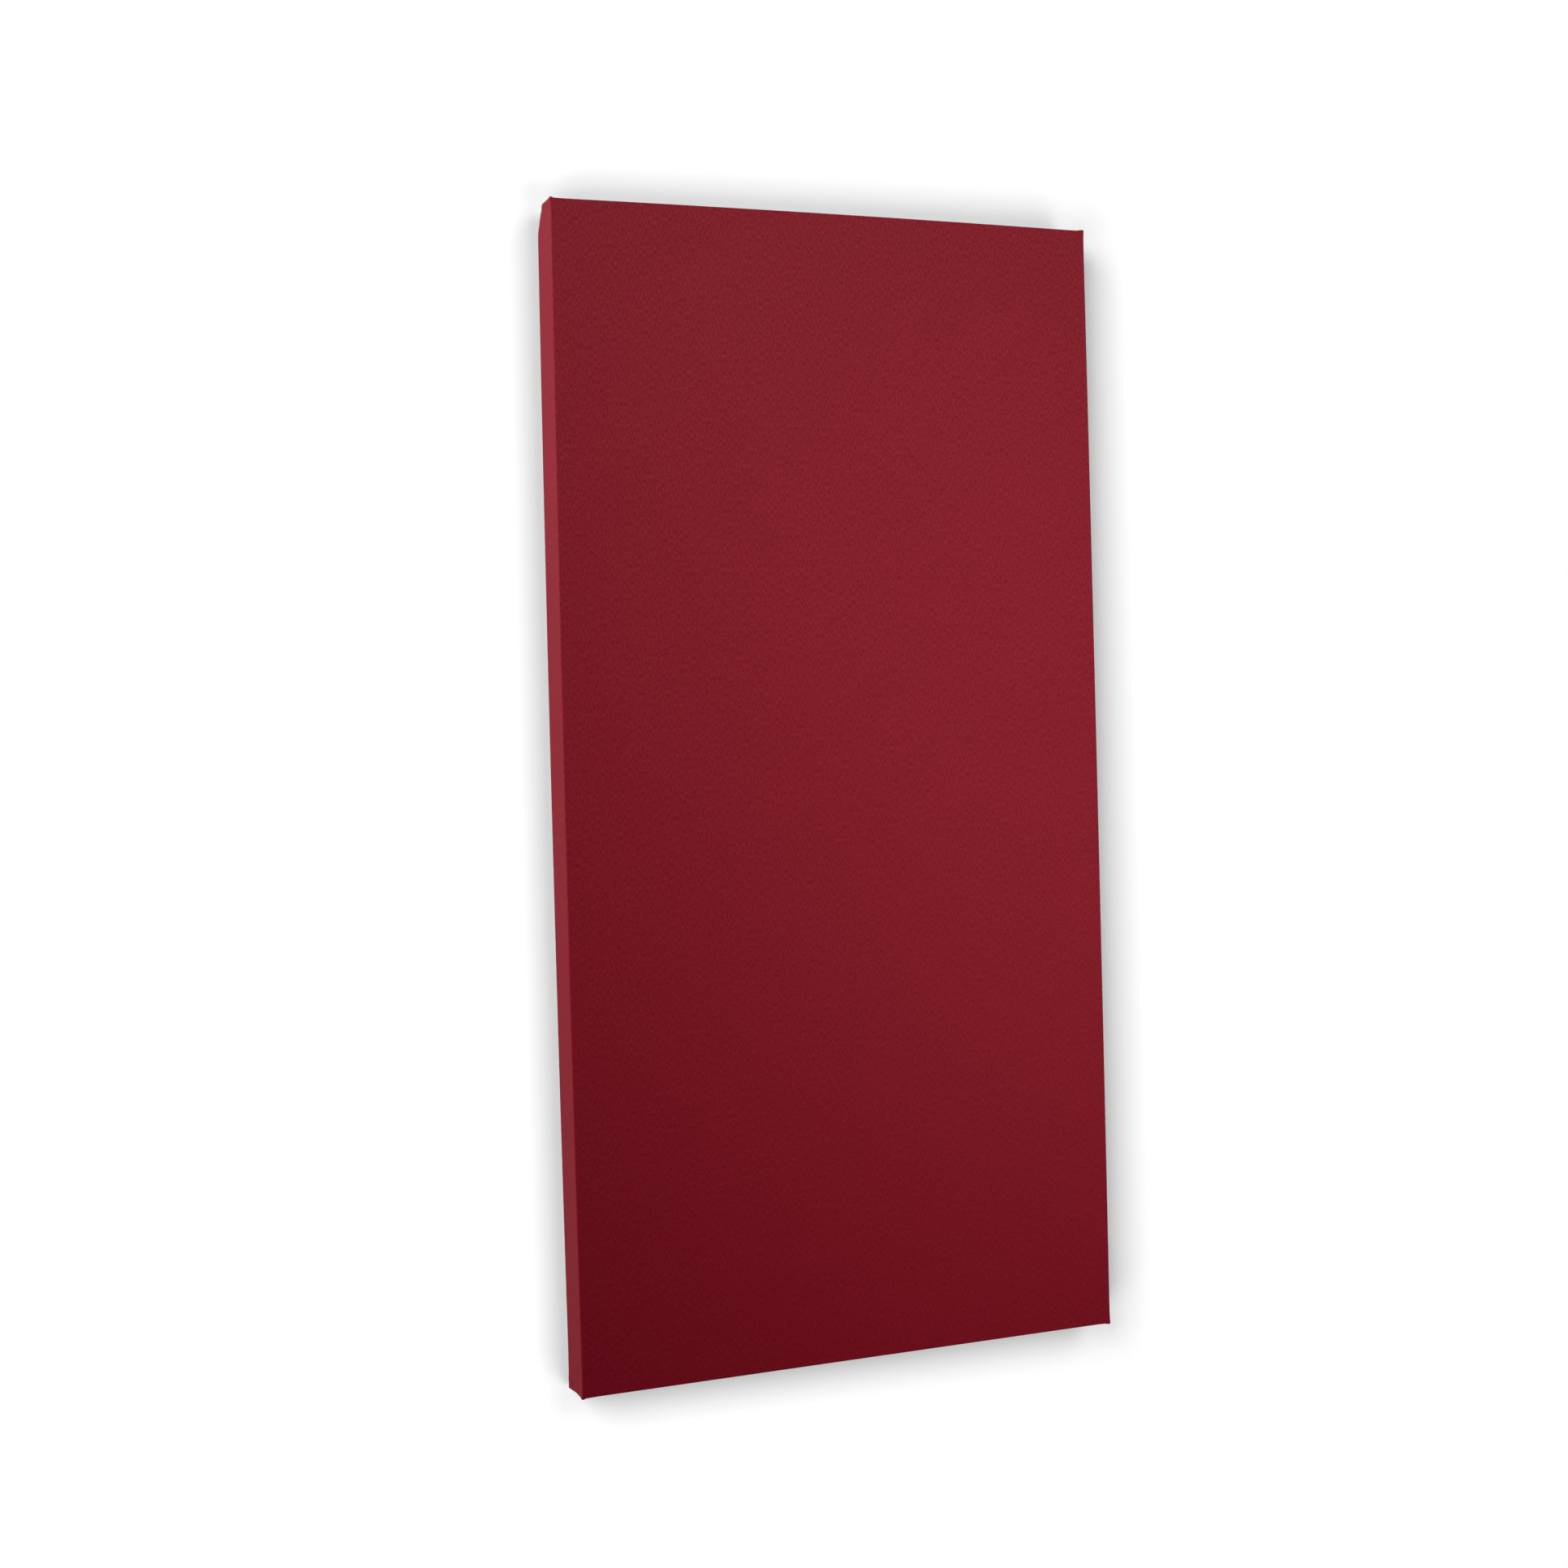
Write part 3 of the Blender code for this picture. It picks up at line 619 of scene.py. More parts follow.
def zinc_steel(settings):
    """Bright zinc plate on steel: a faint warm and blue tint in patches, and fine tool marks."""
    plate = Surface("zinc_plate", Metallic=1.0)
    marks = plate.effect("brushed", Vector=plate.place(), Fineness=0.6)
    patch = plate.remap(plate.noise(plate.place(), 420.0), 0.35, 0.65)
    tint = plate.mix(patch, BLUE_ZINC, settings.zinc_colour)
    return plate.finish(
        plate.scale(tint, plate.remap(marks["Lines"], 0.3, 0.7, 0.88, 1.05)),
        plate.bump(marks["Lines"], 0.00002, 0.3),
        plate.remap(marks["Marks"], 0.35, 0.7, 0.24, 0.42),
    )


def rubber():
    """Black moulded rubber, dull, with a fine pebbled skin and a little dust."""
    skin = Surface("moulded_rubber", Specular_IOR_Level=0.35)
    bloom = skin.noise(skin.place(), 160.0, 3.0)
    colour = skin.mix(bloom, *RUBBER)
    return skin.finish(
        skin.dusty(colour, 0.5, RUBBER_DUST),
        skin.bump(skin.noise(skin.place(), 2200.0), 0.00005, 0.4),
        skin.remap(bloom, 0.3, 0.7, 0.62, 0.82),
    )


# Cloth wrap


class EdgePath:
    """The way that the cloth takes from the front, round an edge, along a side and onto the back.

    It is a quarter circle, a straight run, a quarter circle and a straight run inwards. Each step, a
    row of its own, has how far out it lies from where the flat front ends, how deep, its outward
    normal's two parts, and the length of cloth used so far.
    """

    ROLL_STEPS = 6
    SIDE_STEPS, SIDE_CROWDING = 20, 1.6
    RETURN_STEPS, RETURN_CROWDING = 14, 1.8

    def __init__(self, radius, turned_in):
        turn = np.linspace(0.0, math.pi / 2, self.ROLL_STEPS + 1)[:, None]
        run = (DEPTH - 2 * radius) * crowd_start(self.SIDE_STEPS, self.SIDE_CROWDING)[1:-1, None]
        back = turned_in * crowd_start(self.RETURN_STEPS, self.RETURN_CROWDING)[1:, None]
        sine, cosine, zero, one = np.sin(turn), np.cos(turn), np.zeros_like, np.ones_like
        self.radius = radius
        self.out = np.concatenate([radius * sine, radius * one(run), radius * cosine, -back])
        self.deep = np.concatenate(
            [radius * (1 - cosine), radius + run, DEPTH - radius + radius * sine, DEPTH * one(back)]
        )
        self.normal_out = np.concatenate([sine, one(run), cosine, zero(back)])
        self.normal_deep = np.concatenate([-cosine, zero(run), sine, one(back)])
        steps = np.hypot(np.diff(self.out, axis=0), np.diff(self.deep, axis=0))
        self.length = np.concatenate([[[0.0]], np.cumsum(steps, axis=0)])
        self.turned = np.maximum(-self.out, 0.0)
        self.before_back = slice(len(self.out) - len(back))


class Wrap:
    """The cloth's shape: a box of rounded edges, its corner folds, and what departs from a true box."""

    CORNERS = [(side, end) for side in (LEFT, RIGHT) for end in (UP, DOWN)]
    REACH = 0.120  # from a corner to where the rows and columns are evenly spaced
    CELL = 0.012
    # Steps across a fold, beyond it and beyond a mitre, and how they crowd
    ON_FOLD, PAST_FOLD, PAST_MITRE = (16, 2.6), (12, 3.0), (15, 2.6)
    TURN_STEPS = 6
    RISE_BY = 1.6  # edge radii from the front to where a fold has all its height
    FOLD_ROLL = 0.0008  # radius of a folded edge
    ONTO_BACK = 0.004  # how soon the cloth lies as it does on the back
    FOLD_DIP, MITRE_DIP = 0.012, 0.004  # how far the dips beside a fold and beside a mitre reach
    CALM_EDGE, WAVE = 0.05, 0.22  # the front's edge without waves, and the waves' size
    PUCKERED, PUCKER_HEIGHT, PUCKER_WAVE = 0.02, 0.00015, 0.011  # small waves near the rear edges
    EAR_REACH = 0.006
    FOLD_BULGE, FOLD_PUSH = (0.040, 0.016, 0.018), (-0.4, 0.0, -1.0)
    DRAWN_SOFT, DRAWN_TURN = 0.0012, 0.003  # how softly the drawn-in part starts and turns
    DRAWN_HEIGHT, DRAWN_WAVE = 0.0003, 0.010  # small waves of the drawn-in part

    def __init__(self, settings):
        self.set = settings
        self.path = EdgePath(settings.edge_radius, settings.turned_in)
        self.across = SIDE - settings.edge_radius
        self.tall = HALF_HEIGHT - settings.edge_radius
        self.inner = crowd_ends(*self.ON_FOLD)
        self.outer = crowd_start(*self.PAST_FOLD)[1:]
        self.rows = crowd_start(*self.PAST_MITRE)[1:]

    def fold_edge(self):
        """From the corner to a fold's edge, at each step: a small pucker, then a slant to the back."""
        path, start = self.path, self.set.pucker
        depth = DEPTH - 2 * path.radius
        slope = (self.set.fold_width - start) / depth
        return start + slope * np.clip(path.deep - path.radius, 0.0, depth) + path.turned

    def columns(self):
        """Distances from the left corner to each column, at each step, for the top and the bottom."""
        fold, mitre = self.fold_edge(), self.path.turned
        near = [mitre + self.inner * (fold - mitre), fold + self.outer * (self.REACH - fold)]
        return self.mirrored(near, self.across)

    def side_rows(self):
        """Distances from the lower corner to each row, at each step, for the left and the right."""
        mitre = self.path.turned
        return self.mirrored([mitre, mitre + self.rows * (self.REACH - mitre)], self.tall)

    def mirrored(self, near, half):
        """Distances near one corner, evenly spaced ones, and the same near the other corner."""
        near = np.concatenate(near, axis=1)
        cells = round((2 * half - 2 * self.REACH) / self.CELL)
        even = np.linspace(self.REACH, 2 * half - self.REACH, cells + 1)[1:-1]
        even = np.broadcast_to(even, (len(near), len(even)))
        return np.concatenate([near, even, 2 * half - near[:, ::-1]], axis=1)

    def rise(self):
        """How far a fold has risen at each step: none on the front, all of it past the edge."""
        return smooth_step(self.path.deep / (self.RISE_BY * self.path.radius)) * self.set.fold_height

    def on_back(self):
        """1 on the back and 0 before it, turning over the first millimetres."""
        return smooth_step(self.path.turned / self.ONTO_BACK)

    def fold_lift(self, distance):
        """How far the cloth of the top or bottom lies above its plane, for a distance from the corner.

        On the sides the fold stands proud with a round edge. On the back it lies level, and the
        cloth beside it dips under its edge.
        """
        fold, back = self.fold_edge(), self.on_back()
        proud = self.rise() * rounded_edge(fold - distance, self.FOLD_ROLL)
        dip = self.set.fold_height * back * np.exp(-np.maximum(distance - fold, 0.0) / self.FOLD_DIP)
        from_mitre = rounded_edge(distance - self.path.turned, self.FOLD_ROLL)
        return proud - dip - self.set.mitre_depth * back * (1 - from_mitre)

    def side_lift(self, distance):
        """On the back, the left and right returns dip under the folded edge at the mitre."""
        gap = np.exp(-np.maximum(distance - self.path.turned, 0.0) / self.MITRE_DIP)
        return -self.set.mitre_depth * self.on_back() * gap

    def both_ends(self, lift_of, distance, half):
        """The lift from both corners of a row or column."""
        return lift_of(distance) + lift_of(2 * half - distance)

    def front_patch(self):
        """The flat front: every column of the path's first step with every row."""
        x = self.columns()[:1] - self.across
        z = MIDDLE - self.tall + self.side_rows()[0][:, None]
        points = grid_of(x, FRONT, z)
        return points, np.broadcast_to((0.0, -1.0, 0.0), points.shape), 0 * (x + z), grid_of(x, z)

    def side_patch(self, side):
        """The left or the right: the path's steps across, with a row's place along for each."""
        path, distance = self.path, self.side_rows()
        z = MIDDLE - self.tall + distance
        points = grid_of(side * (self.across + path.out), FRONT + path.deep, z)
        outward = grid_of(side * path.normal_out, path.normal_deep, 0 * z)
        lift = self.both_ends(self.side_lift, distance, self.tall)
        return points, outward, lift, grid_of(side * (self.across + path.length), z)

    def end_patch(self, end, side, first, last):
        """The top or the bottom between two columns. Its corner folds are cloth of the left and the right."""
        path, distance = self.path, self.columns()[:, first:last]
        x = distance - self.across
        points = grid_of(x, FRONT + path.deep, MIDDLE + end * (self.tall + path.out))
        outward = grid_of(0 * x, path.normal_deep, end * path.normal_out)
        lift = self.both_ends(self.fold_lift, distance, self.across)
        flat_x, beyond = x, path.length
        if side:
            flat_x = side * (self.across + path.length)
            beyond = distance if side == LEFT else 2 * self.across - distance
        return points, outward, lift, grid_of(flat_x, MIDDLE + end * (self.tall + beyond))

    def corner_patch(self, side, end):
        """The round edge between a side and an end, closing to a point on the front and on the back.

        How far out the path is goes sideways times the cosine of a quarter turn, and endways times
        its sine.
        """
        path, rows = self.path, self.path.before_back
        turn = np.linspace(0.0, math.pi / 2, self.TURN_STEPS + 1)[None, :]
        out, normal_out, across, up = path.out[rows], path.normal_out[rows], np.cos(turn), np.sin(turn)
        x, z = side * (self.across + out * across), MIDDLE + end * (self.tall + out * up)
        points = grid_of(x, FRONT + path.deep[rows], z)
        outward = grid_of(side * normal_out * across, path.normal_deep[rows], end * normal_out * up)
        lift = self.rise()[rows] * smooth_step(turn / (math.pi / 2))
        flat_x, flat_z = side * (self.across + path.length[rows]), MIDDLE + end * (self.tall + out * turn)
        return points, outward, lift, grid_of(flat_x, flat_z)

    def patches(self):
        """All the grids, each finished with its lift and with what departs from a true box."""
        count, inner = self.columns().shape[1], len(self.inner)
        spans = ((LEFT, 0, inner), (0, inner - 1, count - inner + 1), (RIGHT, count - inner, count))
        raw = [self.front_patch(), self.side_patch(LEFT), self.side_patch(RIGHT)]
        raw += [self.corner_patch(side, end) for side, end in self.CORNERS]
        raw += [self.end_patch(end, *span) for end in (UP, DOWN) for span in spans]
        return [(self.finished(points, outward, lift), outward, flat) for points, outward, lift, flat in raw]

    def finished(self, points, outward, lift):
        """The box's points, finished.

        They are bowed by parabolas and moved out by an even swell, and the front corners and the
        bulky fold are pushed out. Then one rear corner is drawn in, and the lift and the soft waves
        are added along the normals.
        """
        s = self.set
        x, y, z = np.moveaxis(points, -1, 0)
        to_end = np.minimum(TOP - z, z - BOTTOM)
        calm = smooth_step(np.minimum(SIDE - np.abs(x), to_end) / self.CALM_EDGE)
        lift = lift + s.unevenness * calm * ripples(points, self.WAVE, 5) * (outward[..., 1] < -0.5)
        pucker = np.exp(-((BACK - y) ** 2 + to_end**2) / self.PUCKERED**2)
        lift = lift + self.PUCKER_HEIGHT * pucker * ripples(points, self.PUCKER_WAVE, 9)
        height, width = (z - MIDDLE) / HALF_HEIGHT, x / SIDE
        tall_bow, wide_bow = (1 - np.clip(part, -1, 1) ** 2 for part in (height, width))
        bow = np.where(x < 0, s.left_bow * tall_bow + s.left_swell, s.right_bow * tall_bow + s.right_swell)
        rise = np.where(z > MIDDLE, s.top_bow * height**2 * wide_bow + s.top_swell, s.bottom_swell)
        bowed = grid_of(x + bow * width, y, z + rise * height)
        drawn, facing = self.drawn_in(bowed + self.corner_ears(points) + self.bulky_fold(points), outward)
        return drawn + facing * lift[..., None]

    def corner_ears(self, points):
        """The small points of the cloth at the front corners: an outward push that dies away fast."""
        from_middle = points - (0.0, 0.0, MIDDLE)
        away = np.abs(from_middle) * (1, -1, 1) - (SIDE, FRONT, HALF_HEIGHT)
        push = self.set.corner_ear * np.exp(-np.linalg.norm(away, axis=-1) / self.EAR_REACH)
        return push[..., None] * np.sign(from_middle) * (1.0, 0.0, 1.0)

    def bulky_fold(self, points):
        """The rear bottom left corner stands out under its folded layers: a bell curve round the corner."""
        away = (points - (-SIDE, BACK, BOTTOM)) / self.FOLD_BULGE
        return self.set.fold_bulk * np.exp(-(away**2).sum(axis=-1))[..., None] * self.FOLD_PUSH

    def drawn_in(self, points, outward):
        """Brings what lies past a plane across the rear top left corner back onto it, softly and unevenly."""
        s = self.set
        start = np.array([s.drawn_across - SIDE, BACK, TOP])
        normal = np.array([-1 / s.drawn_across, 1 / s.drawn_forward, 1 / s.drawn_down])
        normal /= np.linalg.norm(normal)
        bulge = s.drawn_bulge + self.DRAWN_HEIGHT * ripples(points, self.DRAWN_WAVE, 3)
        pulled = positive_part((points - start) @ normal - bulge, self.DRAWN_SOFT)
        share = np.clip(pulled / self.DRAWN_TURN, 0.0, 1.0)[..., None]
        facing = outward * (1 - share) + normal * share
        return points - normal * pulled[..., None], facing / np.linalg.norm(facing, axis=-1, keepdims=True)


class ACOUSTIC_OT_cloth(bpy.types.Operator):
    """Makes the cloth wrap, one sheet over the front and the sides and turned in on the back"""

    bl_idname = "acoustic.cloth"
    bl_label = "Cloth wrap"

    def execute(self, context):
        settings = context.scene.acoustic_cloth
        patches = Wrap(settings).patches()
        wrap = add_piece("cloth_wrap", patches, red_cloth(settings), ["fabric_wrap"])
        thicken(wrap, settings.thickness)
        return {"FINISHED"}


# Sheets and filling behind the cloth

COVER_LOW, COVER_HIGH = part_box("rear_dust_cover")
CLEAT_LOW, CLEAT_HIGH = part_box("panel_cleat")
COVER_CORNER = 0.025  # how far each corner of the cover is cut along its edges
COVER_COLUMNS, COVER_ROWS, CORNER_ROWS = 120, 231, 8
STAPLE_INSET = 0.005  # from the cover's edge to its staples
WRINKLE_START, WRINKLE_REACH, LOBES = 0.008, 0.020, (5, 9)  # of the wrinkles round a staple
DENT_REACH, HELD_REACH = 0.006, 0.016
CURL_REACH, SLACK_REACH, HOLLOW_REACH = 0.004, 0.02, 0.07  # how far these reach in from an edge
BUMPER_PRESS = 0.009  # round a bumper's middle, the cover lies flat within this
PRESS_REACH = 0.012  # how far beyond that, and from the cleat, the cover is free again
COVER_WAVES = ((0.00016, 0.11, 31), (0.00005, 0.026, 32))  # each one's height, size and seed
COVER_RANGE = (-0.0015, 0.0004)
TISSUE_GAP, TISSUE_WAVE, TISSUE_WAVE_SIZE, TISSUE_POINTS = 0.0003, 0.00005, 0.14, (81, 161)
WOOL_CELL, WOOL_EDGE_POINTS = 0.0075, 5
HOLLOW_DEPTH, HOLLOW_SIZE = 0.0005, 0.05  # of the wool's soft hollows
FIBRE_DEPTH, FIBRE_SIZE = 0.0004, 0.012
FIBRE_LAY = (1.0, 0.4, 1.0)  # drawn out across the board's thickness


def outline_places(inset, cut, spacing):
    """Even places along the panel's outline, set in and with its corners cut, and their directions."""
    x, low, high = SIDE - inset, BOTTOM + inset, TOP - inset
    right = [(x - cut, high), (x, high - cut), (x, low + cut), (x - cut, low)]
    corners = np.array(right + [(-a, b) for a, b in reversed(right)])
    places, turns = [], []
    for start, end in zip(corners, np.roll(corners, -1, axis=0)):
        run = end - start
        count = max(1, round(math.hypot(*run) / spacing))
        along = (np.arange(count) + 0.5) / count
        places.append(start + along[:, None] * run)
        turns.append(np.full(count, math.atan2(run[1], run[0])))
    return np.concatenate(places), np.concatenate(turns)


def cover_staples(settings):
    """Where the dust cover's staples are, and how they are turned."""
    return outline_places(SIDE - COVER_HIGH.x + STAPLE_INSET, COVER_CORNER, settings.staple_spacing)


def pulled_at_staples(x, z, settings):
    """The cover's height near its staples, and how far they hold it down.

    Each staple makes a dent, a bell curve, and wrinkles that run out from it: a cosine of the
    direction, with a few lobes, that dies away with distance.
    """
    places, _turns = cover_staples(settings)
    away = np.stack([x[..., None] - places[:, 0], z[..., None] - places[:, 1]])
    distance, direction = np.hypot(*away), np.arctan2(away[1], away[0])
    rng = np.random.default_rng(21)
    lobes = rng.integers(*LOBES, len(places))
    starts = rng.uniform(0, 2 * math.pi, len(places))
    wrinkles = np.cos(lobes * direction + starts) * np.exp(-distance / WRINKLE_REACH)
    wrinkles = wrinkles * smooth_step(distance / WRINKLE_START)
    dents, held = (np.exp(-((distance / reach) ** 2)) for reach in (DENT_REACH, HELD_REACH))
    height = (settings.wrinkles * wrinkles - settings.staple_dent * dents).sum(axis=-1)
    return height, held.max(axis=-1)


def hollow_places(x, z):
    """How free the cover is between the boards, from 0 to 1: first by height, then by width.

    By height it is a sine between two boards, raised to a power. By width it eases in from the stiles.
    """
    boxes = [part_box(name) for name in (*SLATS, "bottom_rail")]
    spans = [(lower[1].z, upper[0].z) for upper, lower in zip(boxes, boxes[1:])]
    hollow = sum(np.sin(math.pi * np.clip((z - low) / (high - low), 0, 1)) ** 0.7 for low, high in spans)
    return hollow, smooth_step((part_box("absorber_core")[1].x - np.abs(x)) / HOLLOW_REACH)


def cover_height(x, z, half_width, settings):
    """How far the cover's outer face stands off its plane, outwards.

    It is the sum of the staples' pull, the curl of the edge, the sag and soft waves, and it eases
    to nothing at the cleat and the bumpers.
    """
    points = grid_of(x, z)
    staples, held = pulled_at_staples(x, z, settings)
    margin = np.minimum(np.minimum(half_width - np.abs(x), z - COVER_LOW.z), COVER_HIGH.z - z)
    curl = settings.edge_curl * np.exp(-margin / CURL_REACH) * (1 - held)
    hollow, open_width = hollow_places(x, z)
    sag = -settings.cover_sag * hollow * open_width
    slack = (0.25 + hollow * open_width) * smooth_step(margin / SLACK_REACH)
    waves = sum(height * ripples(points, size, seed) for height, size, seed in COVER_WAVES)
    height = staples + curl + sag + slack * waves
    for name in ("left_bumper", "right_bumper"):
        low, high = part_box(name)
        away = np.hypot(x - (low.x + high.x) / 2, z - (low.z + high.z) / 2)
        height = height * smooth_step((away - BUMPER_PRESS) / PRESS_REACH)
    beside, below = np.abs(x) - CLEAT_HIGH.x, CLEAT_LOW.z - z
    free = smooth_step(beside / PRESS_REACH) + smooth_step(below / PRESS_REACH)
    return np.clip(height, *COVER_RANGE) * np.clip(free, 0, 1)


def cover_patch(settings):
    """A grid as wide as the cover, narrowing towards both ends where the corners are cut across."""
    ends = COVER_CORNER * np.linspace(0, 1, CORNER_ROWS + 1)
    low, high = COVER_LOW.z, COVER_HIGH.z
    middle = np.linspace(low + COVER_CORNER, high - COVER_CORNER, COVER_ROWS + 1)[1:-1]
    z = np.concatenate([low + ends, middle, high - ends[::-1]])[:, None]
    half_width = COVER_HIGH.x - np.maximum(COVER_CORNER - np.minimum(z - low, high - z), 0.0)
    x = half_width * np.linspace(-1, 1, COVER_COLUMNS + 1)[None, :]
    z = z + 0 * x
    return level_patch(x, COVER_HIGH.y + cover_height(x, z, half_width, settings), z, 1)


def scrim_patch():
    """A level grid over the filling's front, with the soft waves of a light tissue."""
    low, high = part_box("front_scrim")
    columns, rows = TISSUE_POINTS
    x, z = np.meshgrid(np.linspace(low.x, high.x, columns), np.linspace(low.z, high.z, rows))
    waves = TISSUE_WAVE * ripples(grid_of(x, z), TISSUE_WAVE_SIZE, 41)
    return level_patch(x, low.y + TISSUE_GAP + waves, z, -1)


def rounded_box(low, high, radius, cell, relief):
    """The six grids of a box whose edges are rounded and whose faces have a relief pressed into them.

    Each point is brought to the radius from the nearest point of a smaller box, along the line
    between them, less the relief there.
    """
    low, high = np.array(low), np.array(high)
    patches = []
    for axis in range(3):
        others = [(axis + 1) % 3, (axis + 2) % 3]
        lines = []
        for other in others:
            size = high[other] - low[other]
            near = np.linspace(0, radius, WOOL_EDGE_POINTS)
            far = np.linspace(radius, size - radius, max(2, round(size / cell)))[1:-1]
            lines.append(low[other] + np.concatenate([near, far, size - near[::-1]]))
        grid = np.meshgrid(*lines, indexing="ij")
        for end in (low[axis], high[axis]):
            points = np.empty(grid[0].shape + (3,))
            points[..., others[0]], points[..., others[1]], points[..., axis] = *grid, end
            core = np.clip(points, low + radius, high - radius)
            outward = points - core
            outward /= np.linalg.norm(outward, axis=-1, keepdims=True)
            patches.append((core + outward * (radius - relief(points))[..., None], outward, None))
    return patches


def fibrous(points):
    """The lay of cut wool: soft hollows, and short fibres drawn out across the board's thickness."""
    cloud = 0.5 + 0.25 * ripples(points, HOLLOW_SIZE, 51)
    fibres = 0.5 + 0.25 * ripples(points * FIBRE_LAY, FIBRE_SIZE, 52, 30)
    return HOLLOW_DEPTH * np.clip(cloud, 0, 1) + FIBRE_DEPTH * np.clip(fibres, 0, 1)


class ACOUSTIC_OT_scrim(bpy.types.Operator):
    """Makes the tissue that lies over the filling, behind the cloth"""

    bl_idname = "acoustic.scrim"
    bl_label = "Front scrim"

    def execute(self, context):
        layer = add_piece("tissue_layer", [scrim_patch()], tissue(), ["front_scrim"])
        thicken(layer, context.scene.acoustic_back.tissue_thickness)
        return {"FINISHED"}


class ACOUSTIC_OT_filling(bpy.types.Operator):
    """Makes the mineral wool board that fills the frame"""

    bl_idname = "acoustic.filling"
    bl_label = "Filling"

    def execute(self, context):
        radius = context.scene.acoustic_back.wool_edge
        patches = rounded_box(*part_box("absorber_core"), radius, WOOL_CELL, fibrous)
        board = add_piece("wool_board", patches, mineral_wool(), ["absorber_core"])
        return {"FINISHED"}


class ACOUSTIC_OT_dust_cover(bpy.types.Operator):
    """Makes the black dust cover on the back"""

    bl_idname = "acoustic.dust_cover"
    bl_label = "Dust cover"

    def execute(self, context):
        settings = context.scene.acoustic_back
        patches = [cover_patch(settings)]
        cover = add_piece("dust_cover", patches, non_woven(settings), ["rear_dust_cover"])
        thicken(cover, settings.cover_thickness)
        return {"FINISHED"}


# Fasteners, bumpers, boards and cleats

STAPLE_LEG, STAPLE_TIP, STAPLE_BEND = 0.006, 0.0012, 0.0008  # the leg with its tip, and the crown's bends
STAPLE_WIDTH, STAPLE_THICKNESS = 0.0012, 0.0005
STAPLE_ROUND = 1.3  # an eight-sided ring this much too large, cut off at the wire's flat sides
STAPLE_POINT = 0.3  # the size of a leg's end, as a share of the wire's
STAPLE_TURN = 0.06  # how unevenly staples are turned
DRIVEN = (-0.0001, 0.00005)  # how unevenly deep they are driven
ON_COVER, ON_CLOTH = 0.0002, -0.0001  # a crown's outside, from the cover's and the back's plane
CLOTH_STAPLE_INSET, CLOTH_STAPLE_CUT = 0.019, 0.06
CORNER_STAPLES = ((0.0165, 0.0165), (0.037, 0.0055))  # inwards from a corner: across the mitre, on the fold
# Shares of a screw head's radius
SHANK, DOMED_SHANK, THREAD_PITCH = 0.52, 0.53, 0.6
CROSS_REACH, CROSS_HALF_WIDTH, CROSS_DEPTH = 0.62, 0.155, 0.42
CROSS_SLOPE, CROSS_WALL = 0.7, 0.00022  # how much shallower the arms' ends are, and the walls' width
DOME, HEAD_RIM = 0.0019, 0.0003
PLAIN_SHARE = 0.22  # how much of a screw below its head has no thread
TIP = 2.6  # a tip's length in shanks' radii
ROOT, RIDGE = 0.24, 0.34  # shares of the shank: the depth of the thread's root, and its ridge's height
RIDGE_SLOPE = 3.0  # a larger one makes a narrower ridge
# Radius and height, from the wall, of each corner of a bumper's half section
BUMPER_HALF_SECTION = (
    (0.0023, -0.0047),
    (0.0077, -0.0047),
    (0.0080, -0.0044),
    (0.0080, -0.0016),
    (0.0078, -0.0009),
    (0.0072, -0.0003),
    (0.0066, 0.0000),
    (0.0048, 0.0000),
    (0.0043, -0.0002),
    (0.0041, -0.0006),
    (0.0040, -0.0019),
    (0.0023, -0.0037),
    (0.0023, -0.0047),
)
BUMPER_CORE = (0.0052, -0.0025)  # inside the section
HEAD_RINGS, THREAD_RINGS = 26, 8  # on a screw's head, and on each turn of its thread
SCREW_STEPS, BUMPER_STEPS = 48, 64  # round the axis
SHARP = math.radians(35)
WALLWARD = (0, 1, 0)


def staple_path(crown):
    """A staple's bent line, leg, crown and leg, with the outward side of the wire at each point."""
    half, bend, turn = crown / 2, STAPLE_BEND, np.linspace(0, math.pi / 2, 4)
    arc = grid_of(-half + bend - bend * np.cos(turn), -bend + bend * np.sin(turn))
    leg = [(-half, -STAPLE_LEG), (-half, -STAPLE_LEG + STAPLE_TIP)]
    left = np.concatenate([leg, arc, [(-half / 3, 0.0)]])
    side = np.concatenate([[(-1.0, 0.0), (-1.0, 0.0)], grid_of(-np.cos(turn), np.sin(turn)), [(0.0, 1.0)]])
    return [np.concatenate([part, part[::-1] * (-1.0, 1.0)]) for part in (left, side)]


def staple_points(crown):
    """A flat wire with rounded corners carried along the staple's line, its ends sharpened to a chisel."""
    line, side = (np.pad(part, ((1, 1), (0, 0)), "edge") for part in staple_path(crown))
    angle = np.linspace(0, 2 * math.pi, 9) + math.pi / 8
    across = np.clip(np.cos(angle) * STAPLE_ROUND, -1, 1) * STAPLE_WIDTH / 2
    deep = np.clip(np.sin(angle) * STAPLE_ROUND, -1, 1) * STAPLE_THICKNESS / 2
    size = np.ones((len(line), 1))
    size[[0, -1]] = 0.0
    size[[1, -2]] = STAPLE_POINT
    level = deep * size - STAPLE_THICKNESS / 2
    along, out = line[:, :1] + side[:, :1] * level, line[:, 1:] + side[:, 1:] * level
    return grid_of(along, across * size, out), grid_of(line[:, :1], 0.0, line[:, 1:])


